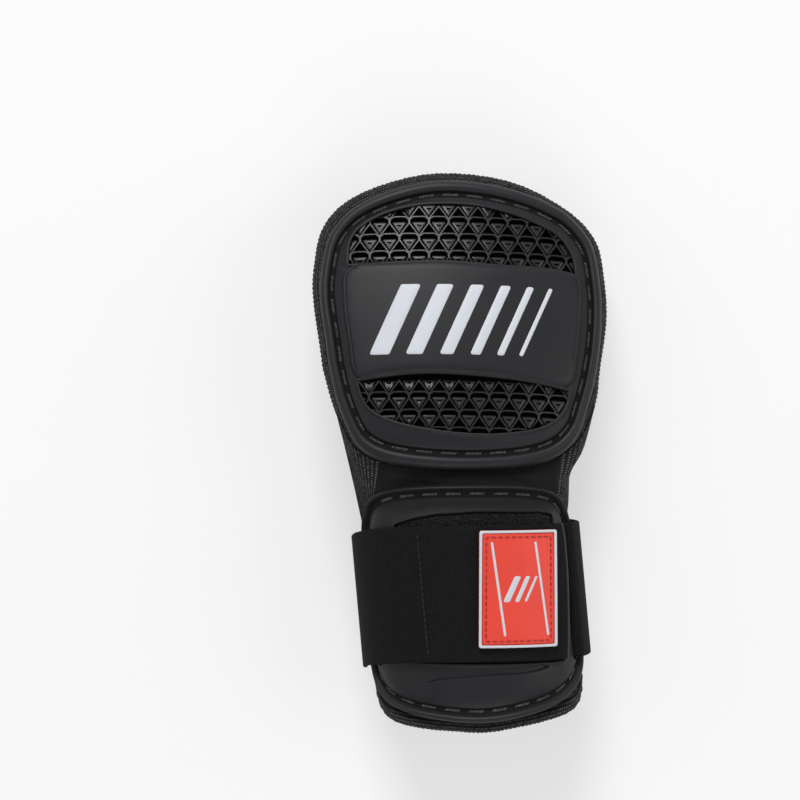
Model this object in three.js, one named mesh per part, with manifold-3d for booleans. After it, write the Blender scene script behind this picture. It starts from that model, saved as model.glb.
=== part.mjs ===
// Batting hand protector: a hand pad and a wrist pad joined by a fabric neck, closed by a wrist strap.
//
// Millimetres, +Z up. The guard lies palm side down with its shells up and its finger end towards +Y.
// The wrist unit stands on the flat run of its strap. The hand unit slopes down from the neck
// until its finger loops touch the same surface. The right side of a right hand's back is +X.

import * as THREE from "three";
import { mergeVertices } from "three/addons/utils/BufferGeometryUtils.js";
import Module from "manifold-3d";

const wasm = await Module();
wasm.setup();

// Clearances
const seat = 0.3; // between two pieces that touch
const wrapSeat = 0.6; // between two curved layers of the wrist unit
const overrun = 3; // how far a cutter runs past what it cuts

// Hand shell: outline, rim and land
const handHalfWidth = 53.4;
const handHalfLength = 56.2;
const handNearEdge = 2.2; // from the neck's middle to the shell's near edge
const beadWidth = 4.8;
const beadHeight = 3.5;
const grooveWidth = 2.4;
const grooveFloor = 1;
const grooveWall = 0.5;
const rimSideShare = 0.78; // the rim's width at the sides, as a share of its width at the ends
const landRun = 3;
const landHeight = 2.9;
const landDip = 0.7; // how far the land drops towards the groove
const panelRise = 1.5;
const panelSlope = 2;
const lipWidth = 1.1;
const lipRise = 0.5;

// Hand pad: layers below the shell, and the crown of the whole unit
const linerThickness = 1.2;
const coverThickness = 1;
const handFoamThickness = 6.5;
const edgeRoll = 3.4; // how far the pad's rounded edge rolls in
const coverLip = 2.6; // how far the cover stands out beside the shell
const crownAcross = 150; // radius across the hand
const crownCentreX = -12; // the crown's ridge, on the thumb's side of the middle
const crownAlong = 260; // radius along the hand

// Lattice insert
const latticePlate = 0.8;
const latticePitch = 7.5;
const latticeRow = 7.1;
const latticeArch = 0.55; // how far each upper rib bows up
const latticeRib = 1.7; // height of a cell's outer rib above the plate
const latticeWeb = 0.8; // height of the web between cells
const latticeBoss = 1.4; // height of a cell's inner boss
const latticePit = 0.1; // height of the pit's floor

// Finger loops
const loopBand = 1.4; // thickness of the elastic
const loopWidth = 14; // width of the elastic
const loopInnerWidth = 18.6;
const loopInnerDepth = 19;
const loopCorner = 6;
const loopSetback = 8; // from the shell's far edge
const middleLoopX = 1;
const loopSpacing = 22;

// Strap loop round the wrist, measured on the strap's inner face
const strapThickness = 1.8;
const strapWidth = 50.8;
const crownRadius = 62;
const sideRadius = 27;
const crownAngle = THREE.MathUtils.degToRad(26);
const wristTop = -2; // near edge of the wrist shell
const strapTop = -17.1; // near edge of the strap
const wristShift = 0.8; // the wrist unit's middle at its near edge
const leanShare = 0.09; // sideways run of the wrist unit for each unit of length

// Wrist shell
const wristHalfRun = 53; // half of its width along the curve
const wristHalfLength = 44.5;
const wristBeadWidth = 4.6;
const wristGrooveWidth = 2.4;
const wristLandRun = 2.4;
const wristShellTop = -0.4; // the bead's top, measured outward from the strap's inner face
const wristLandDrop = 1;
const wristGrooveDepth = 2.2;
const wristShellBottom = -5.6;
const slotInset = 11.2; // from the shell's side edge to the slot
const slotWidth = 2.9;
const recessDepth = 2.5; // below the bead's top
const recessRightGap = 5.8; // from the recess to the right slot
const recessLeftGap = 14.3; // from the recess to the left slot
const recessMargin = 5; // how far the recess runs past the strap on the near side
const recessFarMargin = 2.6; // and on the far side
const slotMargin = 1.1; // how far the slot is longer than the strap is wide, at each end
const barThickness = 2.5;
const stepRise = 1.1;
const stepSlope = 1.8;
const stepHalfRun = 24;
const stepHalfLength = 7.4;
const stepCentreRun = 10;

// Wrist pad
const wristFoamThickness = 5.8;
const wristEdgeRoll = 3;
const wristLip = 1.4;
const wristFarLip = 5; // how far the cover shows past the shell's far edge

// Closure and label
const patchThickness = 1;
const hookRun = 30.2; // length of the hook patch along the strap
const flapGap = 3.2; // from the strap's free end to the right slot
const hingeOverhang = 7; // how far the flap runs past the shell on the left side
const hingeGap = 0.6;
const labelWidth = 29.6;
const labelLength = 44;
const labelGap = 5.4; // from the label to the strap's free end
const labelThickness = 1.2;
const labelField = 0.6;
const labelBorder = 1.5;

// Neck
const neckThickness = 3;
const neckHandMargin = 8.4; // from the hand shell's side to the neck's side
const neckWristMargin = 4.8; // and from the wrist shell's side
const neckSplitLeftShare = -0.68;
const neckSplitRightShare = 0.82;

// Outlines, as shares of the half width and half length they belong to, counter-clockwise
const handShares = [
  [1.0, 0.2], [0.95, 0.53], [0.82, 0.72], [0.6, 0.86], [0.31, 0.965], [-0.13, 1.0], [-0.42, 0.95],
  [-0.71, 0.84], [-0.85, 0.73], [-0.95, 0.57], [-1.0, 0.25], [-0.93, -0.13], [-0.8, -0.66], [-0.72, -0.83],
  [-0.56, -0.935], [-0.06, -1.0], [0.5, -0.955], [0.7, -0.87], [0.81, -0.74], [0.87, -0.54], [0.97, -0.13],
];
const upperWindowShares = [
  [0.83, 0.36], [0.81, 0.47], [0.765, 0.555], [0.7, 0.625], [0.62, 0.668], [0.45, 0.735], [0.234, 0.79],
  [0.014, 0.815], [-0.277, 0.805], [-0.5, 0.757], [-0.65, 0.69], [-0.74, 0.62], [-0.785, 0.54], [-0.79, 0.43],
];
const upperSillShares = [[-0.45, 0.436], [-0.128, 0.443], [0.305, 0.418], [0.6, 0.392]];
const lowerWindowShares = [
  [-0.72, -0.38], [-0.69, -0.48], [-0.638, -0.565], [-0.56, -0.622], [-0.418, -0.676], [-0.128, -0.727],
  [0.163, -0.744], [0.376, -0.727], [0.567, -0.686], [0.69, -0.61], [0.75, -0.51], [0.768, -0.42],
];
const lowerSillShares = [[0.55, -0.385], [0.163, -0.35], [-0.277, -0.336], [-0.52, -0.355]];
const panelShares = [
  [0.866, 0.08], [0.86, 0.33], [0.8, 0.365], [0.6, 0.385], [0.305, 0.41], [-0.128, 0.436], [-0.45, 0.43],
  [-0.77, 0.415], [-0.825, 0.36], [-0.83, 0.15], [-0.795, -0.1], [-0.765, -0.29], [-0.72, -0.365],
  [-0.55, -0.348], [-0.277, -0.328], [0.163, -0.342], [0.5, -0.372], [0.74, -0.4], [0.805, -0.35],
  [0.84, -0.13],
];
const wristShares = [
  [1.0, -0.1], [0.965, 0.3], [0.92, 0.66], [0.84, 0.83], [0.72, 0.93], [0.5, 0.985], [0, 1.0],
  [-0.45, 0.975], [-0.68, 0.92], [-0.82, 0.82], [-0.9, 0.65], [-0.965, 0.3], [-1.0, -0.1], [-1.0, -0.5],
  [-0.94, -0.69], [-0.82, -0.83], [-0.6, -0.93], [-0.3, -0.985], [0, -1.0], [0.3, -0.95], [0.6, -0.85],
  [0.84, -0.69], [0.97, -0.5],
];
const stepShares = [
  [1.0, 0.35], [0.93, 0.86], [0.7, 0.97], [0.2, 1.0], [-0.4, 0.92], [-0.85, 0.72], [-1.0, 0.3],
  [-0.93, -0.35], [-0.6, -0.85], [0, -1.0], [0.6, -0.9], [0.92, -0.45],
];

// A pad's rounded edge, as shares of its roll and its height, from the top to the foot
const rolledEdgeShares = [[1, 1], [0.3, 0.88], [0, 0.5], [0.1, 0.18], [0.3, 0]];
const linerEdgeShare = 0.3; // how far in from the pad's edge the lining ends, as a share of the roll

// The beads' sections, from the groove over the top: shares of the width,
// and of the height for the hand's bead or of the drop to the land for the wrist's
const beadShares = [[1, 0.72], [0.72, 0.95], [0.45, 1], [0.16, 0.82], [0, 0.45]];
const wristBeadShares = [[1, 1], [0.7, 0.2], [0.42, 0], [0.14, 0.6]];
const beadFootShare = 0.1;
const panelShoulderShare = 0.85;

// The strap's fold over the bar, as shares of half its thickness
const foldRunShare = 0.7;
const foldRiseShare = 0.6;

// How an outline's points are shared between a window's side and its sill
const windowSideShare = 2 / 3;

const handFillShares = [0.35, 0.7];
const wristFillShares = [0.28, 0.55, 0.8];
const stepFillShares = [0.5];

// A lattice cell's rings, as shares of the way in to its middle; heights come from the sizes above
const raisedCell = [
  { share: 0.16, height: latticeRib },
  { share: 0.38, height: latticeWeb / 2 },
];

// Points round an outline, or along a strap
const outlineSteps = 58;
const softSteps = 48;
const wristSteps = 52;
const windowSteps = 36;
const stepSteps = 28;
const loopSteps = 32;
const stationStep = 4;
const neckSteps = 36;

// Levels of the hand unit above its lining's underside
const linerTop = linerThickness;
const foamBottom = linerTop + seat;
const foamTop = foamBottom + handFoamThickness;
const coverTop = foamTop + seat + coverThickness;
const shellSeat = coverTop + seat;
const latticeTop = shellSeat + latticePlate;
const shellCavity = latticeTop + seat;
const landTop = shellSeat + landHeight;
const handCentreY = handNearEdge + handHalfLength;
const neckLevel = foamBottom + handFoamThickness / 2;

// Levels of the wrist unit, measured outward from the strap's inner face
const recessFloor = wristShellTop - recessDepth;
const wristCoverTop = wristShellBottom - wrapSeat;
const wristFoamTop = wristCoverTop - coverThickness - wrapSeat;
const wristFoamBottom = wristFoamTop - wristFoamThickness;
const wristLinerTop = wristFoamBottom - wrapSeat;
const wristLinerBottom = wristLinerTop - linerThickness;
const loopPatchBottom = recessFloor + seat;

// Places along the strap's curve, from the middle of the shell
const slotStart = wristHalfRun - slotInset;
const recessLeft = recessLeftGap - slotStart;
const recessRight = slotStart - recessRightGap;
const flapEnd = slotStart - flapGap;
const labelCentreRun = flapEnd - labelGap - labelWidth / 2;
const hingeRun = wristHalfRun + hingeOverhang;
const neckHandHalf = handHalfWidth - neckHandMargin;
const neckWristHalf = wristHalfRun - neckWristMargin;
const recessTop = strapTop + recessMargin;
const hookPatchTop = -seat;
const wristCentreY = wristTop - wristHalfLength;
const strapBottom = strapTop - strapWidth;
const recessBottom = strapBottom - recessFarMargin + stepSlope;

// The strap loop's section: a crown arc, a side arc and a flat run on each side
const crownRun = crownRadius * crownAngle;
const sideRun = sideRadius * (Math.PI - crownAngle);
const sideCentreX = (crownRadius - sideRadius) * Math.sin(crownAngle);
const sideCentreZ = strapThickness + sideRadius;
const crownCentreZ = sideCentreZ - (crownRadius - sideRadius) * Math.cos(crownAngle);
const halfLoop = crownRun + sideRun + sideCentreX;

// The neck's bending line, at the middle of the pads' thickness
const hinge = new THREE.Vector3(0, 0, crownCentreZ + crownRadius + wristLinerBottom + neckLevel);

// Geometry helpers

function solidOf(geometry) {
  const bare = geometry.clone();
  bare.deleteAttribute("normal");
  bare.deleteAttribute("uv");
  const merged = mergeVertices(bare);
  return new wasm.Manifold(new wasm.Mesh({
    numProp: 3,
    vertProperties: new Float32Array(merged.attributes.position.array),
    triVerts: new Uint32Array(merged.index.array),
  }));
}

function geometryOf(solid) {
  const mesh = solid.getMesh();
  const geometry = new THREE.BufferGeometry();
  geometry.setAttribute("position", new THREE.BufferAttribute(new Float32Array(mesh.vertProperties), 3));
  geometry.setIndex(new THREE.BufferAttribute(new Uint32Array(mesh.triVerts), 1));
  return geometry;
}

function indexed(points, triangles) {
  const geometry = new THREE.BufferGeometry();
  geometry.setFromPoints(points);
  geometry.setIndex(triangles);
  return geometry;
}

// A smooth closed outline through shares of a half width and a half length
function outline(shares, halfWidth, halfLength, centreX, centreY, steps) {
  const toPoint = ([x, y]) => new THREE.Vector3(centreX + x * halfWidth, centreY + y * halfLength, 0);
  const knots = shares.map(toPoint);
  const curve = new THREE.CatmullRomCurve3(knots, true, "centripetal");
  return curve.getSpacedPoints(steps).slice(0, steps).map((point) => new THREE.Vector2(point.x, point.y));
}

// A window: a smooth run of points closed by a second run, with corners where they meet
function windowOutline(shares, sillShares, steps) {
  const toPoint = ([x, y]) => new THREE.Vector2(x * handHalfWidth, handCentreY + y * handHalfLength);
  const side = new THREE.SplineCurve(shares.map(toPoint));
  const sill = new THREE.SplineCurve([shares.at(-1), ...sillShares, shares[0]].map(toPoint));
  const sideSteps = Math.round(steps * windowSideShare);
  const sillSteps = steps - sideSteps;
  const sidePoints = side.getSpacedPoints(sideSteps).slice(0, sideSteps);
  const sillPoints = sill.getSpacedPoints(sillSteps).slice(0, sillSteps);
  return [...sidePoints, ...sillPoints];
}

// A rectangle with round corners
function roundedOutline(left, right, bottom, top, corner, steps) {
  const shape = new THREE.Shape();
  shape.absarc(right - corner, bottom + corner, corner, -Math.PI / 2, 0);
  shape.absarc(right - corner, top - corner, corner, 0, Math.PI / 2);
  shape.absarc(left + corner, top - corner, corner, Math.PI / 2, Math.PI);
  shape.absarc(left + corner, bottom + corner, corner, Math.PI, Math.PI * 3 / 2);
  shape.closePath();
  return shape.getSpacedPoints(steps).slice(0, steps);
}

// The outline moved inward, or outward where the distance is negative, and less at its sides where told
function inset(loop, distance, sideShare = 1) {
  return loop.map((point, i) => {
    const before = loop[(i + loop.length - 1) % loop.length];
    const after = loop[(i + 1) % loop.length];
    const along = after.clone().sub(before).normalize();
    return new THREE.Vector2(point.x - along.y * distance * sideShare, point.y + along.x * distance);
  });
}

function middleOf(loop) {
  const box = new THREE.Box2().setFromPoints(loop);
  return box.getCenter(new THREE.Vector2());
}

// A closed body whose skin runs from the middle of its top, out over the profile, and back underneath.
// Each profile entry is [inset from the outline, height]; place turns a flat point into its real place.
function discSolid(loop, profile, fillShares, place, sideShare = 1) {
  const middle = middleOf(loop);
  const ring = ([distance, height], share) => inset(loop, distance, sideShare).map((point) => place(
    middle.x + (point.x - middle.x) * share, middle.y + (point.y - middle.y) * share, height));
  const rings = [
    ...fillShares.map((share) => ring(profile[0], share)),
    ...profile.map((entry) => ring(entry, 1)),
    ...[...fillShares].reverse().map((share) => ring(profile.at(-1), share)),
  ];
  const count = loop.length;
  const topMiddle = place(middle.x, middle.y, profile[0][1]);
  const footMiddle = place(middle.x, middle.y, profile.at(-1)[1]);
  const points = [topMiddle, ...rings.flat(), footMiddle];
  const last = points.length - 1;
  const at = (row, i) => 1 + row * count + (i % count);
  const triangles = [];
  for (let i = 0; i < count; i += 1) {
    triangles.push(0, at(0, i), at(0, i + 1));
    for (let row = 0; row + 1 < rings.length; row += 1) {
      triangles.push(at(row, i), at(row + 1, i), at(row + 1, i + 1));
      triangles.push(at(row, i), at(row + 1, i + 1), at(row, i + 1));
    }
    triangles.push(at(rings.length - 1, i), last, at(rings.length - 1, i + 1));
  }
  return indexed(points, triangles);
}

// A sheet of even thickness on an outline, with square edges
function plate(loop, bottom, top, fillShares, place) {
  return discSolid(loop, [[0, top], [0, bottom]], fillShares, place);
}

// A straight upright prism, for cutting and trimming
function prism(loop, bottom, top) {
  const options = { depth: top - bottom, bevelEnabled: false };
  return new THREE.ExtrudeGeometry(new THREE.Shape(loop), options).translate(0, 0, bottom);
}

// A pad's rounded edge between two levels, from the top inwards to the foot
function rolledEdge(bottom, top, roll, wall) {
  return rolledEdgeShares.map(([inward, upward]) => [wall + inward * roll, bottom + upward * (top - bottom)]);
}

// Hand unit: every layer follows one crowned surface

function handCrown(x, y) {
  const near = handCentreY - handNearEdge;
  const along = y - handCentreY;
  const across = x - crownCentreX;
  return (near * near - along * along) / (2 * crownAlong)
    - (across * across - crownCentreX * crownCentreX) / (2 * crownAcross);
}

function handPlace(x, y, height) {
  return new THREE.Vector3(x, y, height - neckLevel + handCrown(x, y));
}

const handLoop = outline(handShares, handHalfWidth, handHalfLength, 0, handCentreY, outlineSteps);
const coverHalfLength = handHalfLength + coverLip / 2;
const coverCentreY = handNearEdge + coverHalfLength;
const coverLoop = outline(handShares, handHalfWidth + coverLip, coverHalfLength, 0, coverCentreY, softSteps);
const upperWindow = windowOutline(upperWindowShares, upperSillShares, windowSteps);
const lowerWindow = windowOutline(lowerWindowShares, lowerSillShares, windowSteps);
const cutterBottom = -handHalfLength;
const cutterTop = handHalfLength;

function handShell() {
  const grooveEnd = beadWidth + grooveWidth;
  const profile = [
    [grooveEnd + landRun, landTop],
    [grooveEnd, landTop - landDip],
    [grooveEnd - grooveWall, shellSeat + grooveFloor],
    [beadWidth + grooveWall, shellSeat + grooveFloor],
    ...beadShares.map(([across, up]) => [beadWidth * across, shellSeat + beadHeight * up]),
    [beadWidth * beadFootShare, shellSeat],
    [grooveEnd, shellSeat],
    [grooveEnd + grooveWall, shellCavity],
  ];
  const wallMiddle = (landTop - landDip + shellCavity) / 2;
  let solid = solidOf(discSolid(handLoop, profile, handFillShares, handPlace, rimSideShare));
  for (const opening of [upperWindow, lowerWindow]) {
    const lip = discSolid(opening, [
      [0, landTop + lipRise], [-lipWidth / 2, landTop + lipRise],
      [-lipWidth, landTop - landDip / 2], [-lipWidth, wallMiddle],
    ], handFillShares, handPlace);
    solid = solid.add(solidOf(lip));
  }
  const panelLoop = outline(panelShares, handHalfWidth, handHalfLength, 0, handCentreY, softSteps);
  const panel = discSolid(panelLoop, [
    [panelSlope, landTop + panelRise], [panelSlope / 2, landTop + panelRise * panelShoulderShare],
    [0, landTop], [0, wallMiddle],
  ], handFillShares, handPlace);
  solid = solid.add(solidOf(panel));
  for (const opening of [upperWindow, lowerWindow]) {
    solid = solid.subtract(solidOf(prism(opening, cutterBottom, cutterTop)));
  }
  return geometryOf(solid);
}

// One cell of the lattice: rings of points that step in to its middle
function latticeCell(corners, bases, rings, peakHeight, triangles) {
  const middle = corners.reduce((sum, corner) => sum.add(corner), new THREE.Vector2());
  middle.divideScalar(corners.length);
  let outer = corners.map((corner) => handPlace(corner.x, corner.y, latticeTop + latticeWeb));
  for (const { share, height } of rings) {
    const inner = corners.map((corner) => {
      const point = corner.clone().lerp(middle, share);
      return handPlace(point.x, point.y, latticeTop + height);
    });
    outer.forEach((point, i) => {
      const next = (i + 1) % outer.length;
      triangles.push([inner[i], point, outer[next]], [inner[i], outer[next], inner[next]]);
    });
    outer = inner;
  }
  const peak = handPlace(middle.x, middle.y, latticeTop + peakHeight);
  outer.forEach((point, i) => triangles.push([peak, point, outer[(i + 1) % outer.length]]));
  const foot = handPlace(middle.x, middle.y, latticeTop - latticePlate / 2);
  bases.forEach((point, i) => triangles.push([foot, bases[(i + 1) % bases.length], point]));
}

// The raised grid that fills one window: rows of cells, each row half a pitch along from the last
function latticePatch(opening) {
  const box = new THREE.Box2().setFromPoints(opening);
  const rows = Math.ceil((box.max.y - box.min.y) / latticeRow) + 1;
  const columns = Math.ceil((box.max.x - box.min.x) / latticePitch) + 2;
  const left = middleOf(opening).x - columns * latticePitch / 2;
  const knot = (row, column) => new THREE.Vector2(
    left + (column + (row % 2) / 2) * latticePitch, box.max.y + latticeRow / 2 - row * latticeRow);
  const bowed = (a, b) => a.clone().lerp(b, 0.5).add(new THREE.Vector2(0, latticeArch));
  const base = (point) => handPlace(point.x, point.y, latticeTop - latticePlate / 2);
  const triangles = [];
  const edges = new Map();
  const addCell = (corners, rings, peakHeight) => {
    latticeCell(corners, corners.map(base), rings, peakHeight, triangles);
    corners.forEach((corner, i) => {
      const next = corners[(i + 1) % corners.length];
      const key = [corner, next].map((point) => `${point.x.toFixed(3)},${point.y.toFixed(3)}`);
      const twin = `${key[1]} ${key[0]}`;
      if (edges.has(twin)) edges.delete(twin);
      else edges.set(`${key[0]} ${key[1]}`, [corner, next]);
    });
  };
  for (let row = 0; row < rows; row += 1) {
    const shift = row % 2;
    for (let column = 0; column < columns; column += 1) {
      const topLeft = knot(row, column);
      const topRight = knot(row, column + 1);
      const apex = knot(row + 1, column + shift);
      addCell([topLeft, apex, topRight, bowed(topLeft, topRight)], raisedCell, latticeBoss);
      const nextApex = knot(row + 1, column + shift + 1);
      if (column + 1 < columns) addCell([apex, bowed(apex, nextApex), nextApex, topRight], [], latticePit);
    }
  }
  for (const [from, to] of edges.values()) {
    const high = (point) => handPlace(point.x, point.y, latticeTop + latticeWeb);
    triangles.push([high(from), base(from), base(to)], [high(from), base(to), high(to)]);
  }
  const geometry = new THREE.BufferGeometry().setFromPoints(triangles.flat());
  return mergeVertices(geometry);
}

function latticeInsert() {
  const edge = beadWidth + grooveWidth + grooveWall + seat;
  const sheet = plate(inset(handLoop, edge, rimSideShare), shellSeat, latticeTop, handFillShares, handPlace);
  let solid = solidOf(sheet);
  for (const opening of [upperWindow, lowerWindow]) {
    const trim = solidOf(prism(inset(opening, seat), cutterBottom, cutterTop));
    solid = solid.add(solidOf(latticePatch(opening)).intersect(trim));
  }
  return geometryOf(solid);
}

function handCover() {
  const outer = rolledEdge(foamBottom, coverTop, edgeRoll, 0);
  const inner = rolledEdge(foamBottom, coverTop - coverThickness, edgeRoll, coverThickness);
  return discSolid(coverLoop, [...outer, ...inner.reverse()], handFillShares, handPlace);
}

function handFoam() {
  const edge = rolledEdge(foamBottom, foamTop, edgeRoll, coverThickness + seat);
  return discSolid(coverLoop, edge, handFillShares, handPlace);
}

function handLiner() {
  const edge = edgeRoll * linerEdgeShare;
  return plate(inset(coverLoop, edge), 0, linerTop, handFillShares, handPlace);
}

// An elastic loop: a band bent into a rounded rectangle, open along the finger
function fingerLoop() {
  const halfOuter = loopInnerWidth / 2 + loopBand;
  const outerDepth = loopInnerDepth + loopBand * 2;
  const halfInner = halfOuter - loopBand;
  const outer = roundedOutline(-halfOuter, halfOuter, -outerDepth, 0, loopCorner + loopBand, loopSteps);
  const innerEdges = [-halfInner, halfInner, loopBand - outerDepth, -loopBand, loopCorner, loopSteps];
  const inner = roundedOutline(...innerEdges);
  const band = new THREE.Shape(outer);
  band.holes.push(new THREE.Path(inner));
  const geometry = new THREE.ExtrudeGeometry(band, { depth: loopWidth, bevelEnabled: false });
  return geometry.rotateX(Math.PI / 2).translate(0, loopWidth / 2, 0);
}

// Wrist unit: a place is given by the run along the strap loop, the length and the height off its inner face

function sectionAt(run) {
  const side = run < 0 ? -1 : 1;
  const distance = Math.abs(run);
  const onArc = (centreX, centreZ, radius, angle) => {
    const outX = side * Math.sin(angle);
    const outZ = Math.cos(angle);
    return { x: side * centreX + outX * radius, z: centreZ + outZ * radius, outX, outZ };
  };
  if (distance <= crownRun) return onArc(0, crownCentreZ, crownRadius, distance / crownRadius);
  if (distance <= crownRun + sideRun) {
    const angle = crownAngle + (distance - crownRun) / sideRadius;
    return onArc(sideCentreX, sideCentreZ, sideRadius, angle);
  }
  const x = halfLoop - distance;
  return { x: side * x, z: strapThickness, outX: 0, outZ: -1 };
}

function leanAt(y) {
  return wristShift - leanShare * (y - wristTop);
}

function wristPlace(run, y, height) {
  const { x, z, outX, outZ } = sectionAt(run > halfLoop ? run - halfLoop * 2 : run);
  return new THREE.Vector3(x + outX * height + leanAt(y), y, z + outZ * height);
}

// The wrist unit's cross-section extruded along the strap's width; corners are [run, height] pairs
function wristExtrusion(corners, bottom, top) {
  const flat = corners.map(([run, height]) => {
    const point = wristPlace(run, wristTop, height);
    return new THREE.Vector2(point.x - leanAt(wristTop), point.z);
  });
  const options = { depth: top - bottom, bevelEnabled: false };
  const geometry = new THREE.ExtrudeGeometry(new THREE.Shape(flat), options);
  geometry.rotateX(Math.PI / 2).translate(0, top, 0);
  const position = geometry.attributes.position;
  for (let i = 0; i < position.count; i += 1) position.setX(i, position.getX(i) + leanAt(position.getY(i)));
  return geometry;
}

// A band that follows the strap loop between two runs and two heights
function wristBand(start, end, low, high, bottom, top) {
  const steps = Math.max(1, Math.round((end - start) / stationStep));
  const stations = Array.from({ length: steps + 1 }, (_, i) => start + (end - start) * i / steps);
  const corners = [...stations.map((run) => [run, low]), ...stations.reverse().map((run) => [run, high])];
  return wristExtrusion(corners, bottom, top);
}

const wristLoop = outline(wristShares, wristHalfRun, wristHalfLength, 0, wristCentreY, wristSteps);
const wristCoverHalfLength = wristHalfLength + wristFarLip / 2;
const wristCoverLoop = outline(
  wristShares, wristHalfRun + wristLip, wristCoverHalfLength, 0, wristTop - wristCoverHalfLength, wristSteps);

function wristShell() {
  const grooveEnd = wristBeadWidth + wristGrooveWidth;
  const landLevel = wristShellTop - wristLandDrop;
  const grooveLevel = wristShellTop - wristGrooveDepth;
  const rise = wristShellTop - wristShellBottom;
  const profile = [
    [grooveEnd + wristLandRun, landLevel],
    [grooveEnd, landLevel - grooveWall],
    [grooveEnd - grooveWall, grooveLevel],
    [wristBeadWidth + grooveWall, grooveLevel],
    ...wristBeadShares.map(([across, down]) => (
      [wristBeadWidth * across, wristShellTop - wristLandDrop * down])),
    [0, wristShellTop - rise / 2],
    [wristBeadWidth * beadFootShare, wristShellBottom],
    [wristEdgeRoll, wristShellBottom],
  ];
  let solid = solidOf(discSolid(wristLoop, profile, wristFillShares, wristPlace));
  const stepCentreY = strapBottom - recessFarMargin - stepHalfLength;
  const stepLoop = outline(stepShares, stepHalfRun, stepHalfLength, stepCentreRun, stepCentreY, stepSteps);
  const step = discSolid(stepLoop, [
    [stepSlope, landLevel + stepRise], [0, landLevel - seat], [0, landLevel - grooveWall * 2],
  ], stepFillShares, wristPlace);
  solid = solid.add(solidOf(step));
  const cut = (start, end, low, high, bottom, top) => {
    solid = solid.subtract(solidOf(wristBand(start, end, low, high, bottom, top)));
  };
  cut(recessLeft, recessRight, recessFloor, overrun, recessBottom, recessTop);
  const slotEnd = slotStart + slotWidth;
  const slotBottom = strapBottom - slotMargin;
  const slotTop = strapTop + slotMargin;
  const pocketEnd = wristHalfRun + overrun;
  const pocketTop = wristShellTop - barThickness;
  for (const side of [1, -1]) {
    const slot = [slotStart * side, slotEnd * side].sort((a, b) => a - b);
    const pocket = [slotStart * side, pocketEnd * side].sort((a, b) => a - b);
    cut(...slot, wristShellBottom - overrun, overrun, slotBottom, slotTop);
    cut(...pocket, wristShellBottom - overrun, pocketTop, slotBottom, slotTop);
  }
  return geometryOf(solid);
}

function wristCover() {
  const outer = rolledEdge(wristFoamBottom, wristCoverTop, wristEdgeRoll, 0);
  const inner = rolledEdge(wristFoamBottom, wristCoverTop - coverThickness, wristEdgeRoll, coverThickness);
  return discSolid(wristCoverLoop, [...outer, ...inner.reverse()], wristFillShares, wristPlace);
}

function wristFoam() {
  const edge = rolledEdge(wristFoamBottom, wristFoamTop, wristEdgeRoll, coverThickness + wrapSeat);
  return discSolid(wristCoverLoop, edge, wristFillShares, wristPlace);
}

function wristLiner() {
  const edge = wristEdgeRoll * linerEdgeShare;
  return plate(inset(wristCoverLoop, edge), wristLinerBottom, wristLinerTop, wristFillShares, wristPlace);
}

function loopPatch() {
  const start = recessLeft + seat;
  const end = recessRight - seat;
  const top = loopPatchBottom + patchThickness;
  return wristBand(start, end, loopPatchBottom, top, recessBottom + seat, recessTop - seat);
}

function hookPatch() {
  const low = hookPatchTop - patchThickness;
  const edge = strapThickness;
  const end = recessRight - edge;
  return wristBand(end - hookRun, end, low, hookPatchTop, strapBottom + edge, strapTop - edge);
}

function strapFlap() {
  return wristBand(hingeGap / 2 - hingeRun, flapEnd, 0, strapThickness, strapBottom, strapTop);
}

// The strap's fixed part: an inner leg under the bar, up through the slot, over the bar and round below
function strapWrap() {
  const half = strapThickness / 2;
  const innerLevel = (wristShellTop - barThickness + wristShellBottom) / 2;
  const slotMiddle = slotStart + slotWidth / 2;
  const wrapEnd = halfLoop * 2 - hingeRun - hingeGap / 2;
  const start = slotMiddle + strapThickness;
  const steps = Math.round((wrapEnd - start) / stationStep);
  const innerLegEnd = wristHalfRun + overrun;
  const spine = [[innerLegEnd, innerLevel], [(innerLegEnd + slotMiddle) / 2, innerLevel]];
  spine.push([slotMiddle + half, innerLevel], [slotMiddle, innerLevel + half], [slotMiddle, -half]);
  spine.push([slotMiddle + half * foldRunShare, half * foldRiseShare]);
  for (let i = 0; i <= steps; i += 1) spine.push([start + (wrapEnd - start) * i / steps, half]);
  const left = [];
  const right = [];
  spine.forEach(([run, height], i) => {
    const [beforeRun, beforeHeight] = spine[Math.max(0, i - 1)];
    const [afterRun, afterHeight] = spine[Math.min(spine.length - 1, i + 1)];
    const along = new THREE.Vector2(afterRun - beforeRun, afterHeight - beforeHeight).normalize();
    left.push([run - along.y * half, height + along.x * half]);
    right.push([run + along.y * half, height - along.x * half]);
  });
  return wristExtrusion([...right, ...left.reverse()], strapBottom, strapTop);
}

const labelCentreY = (strapTop + strapBottom) / 2;

function labelBand(edge, low, high) {
  const halfRun = labelWidth / 2 - edge;
  const halfLength = labelLength / 2 - edge;
  const start = labelCentreRun - halfRun;
  const end = labelCentreRun + halfRun;
  return solidOf(wristBand(start, end, low, high, labelCentreY - halfLength, labelCentreY + halfLength));
}

const labelBottom = strapThickness + seat;

function labelBase() {
  const ledge = labelBottom + labelThickness;
  const field = labelBand(labelBorder + seat, labelBottom, ledge + labelField);
  return geometryOf(labelBand(0, labelBottom, ledge).add(field));
}

function labelRim() {
  const low = labelBottom + labelThickness + seat;
  const high = low + labelField;
  return geometryOf(labelBand(0, low, high).subtract(labelBand(labelBorder, low - overrun, high + overrun)));
}

// Neck: three fabric pieces between the pads' facing edges

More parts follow.
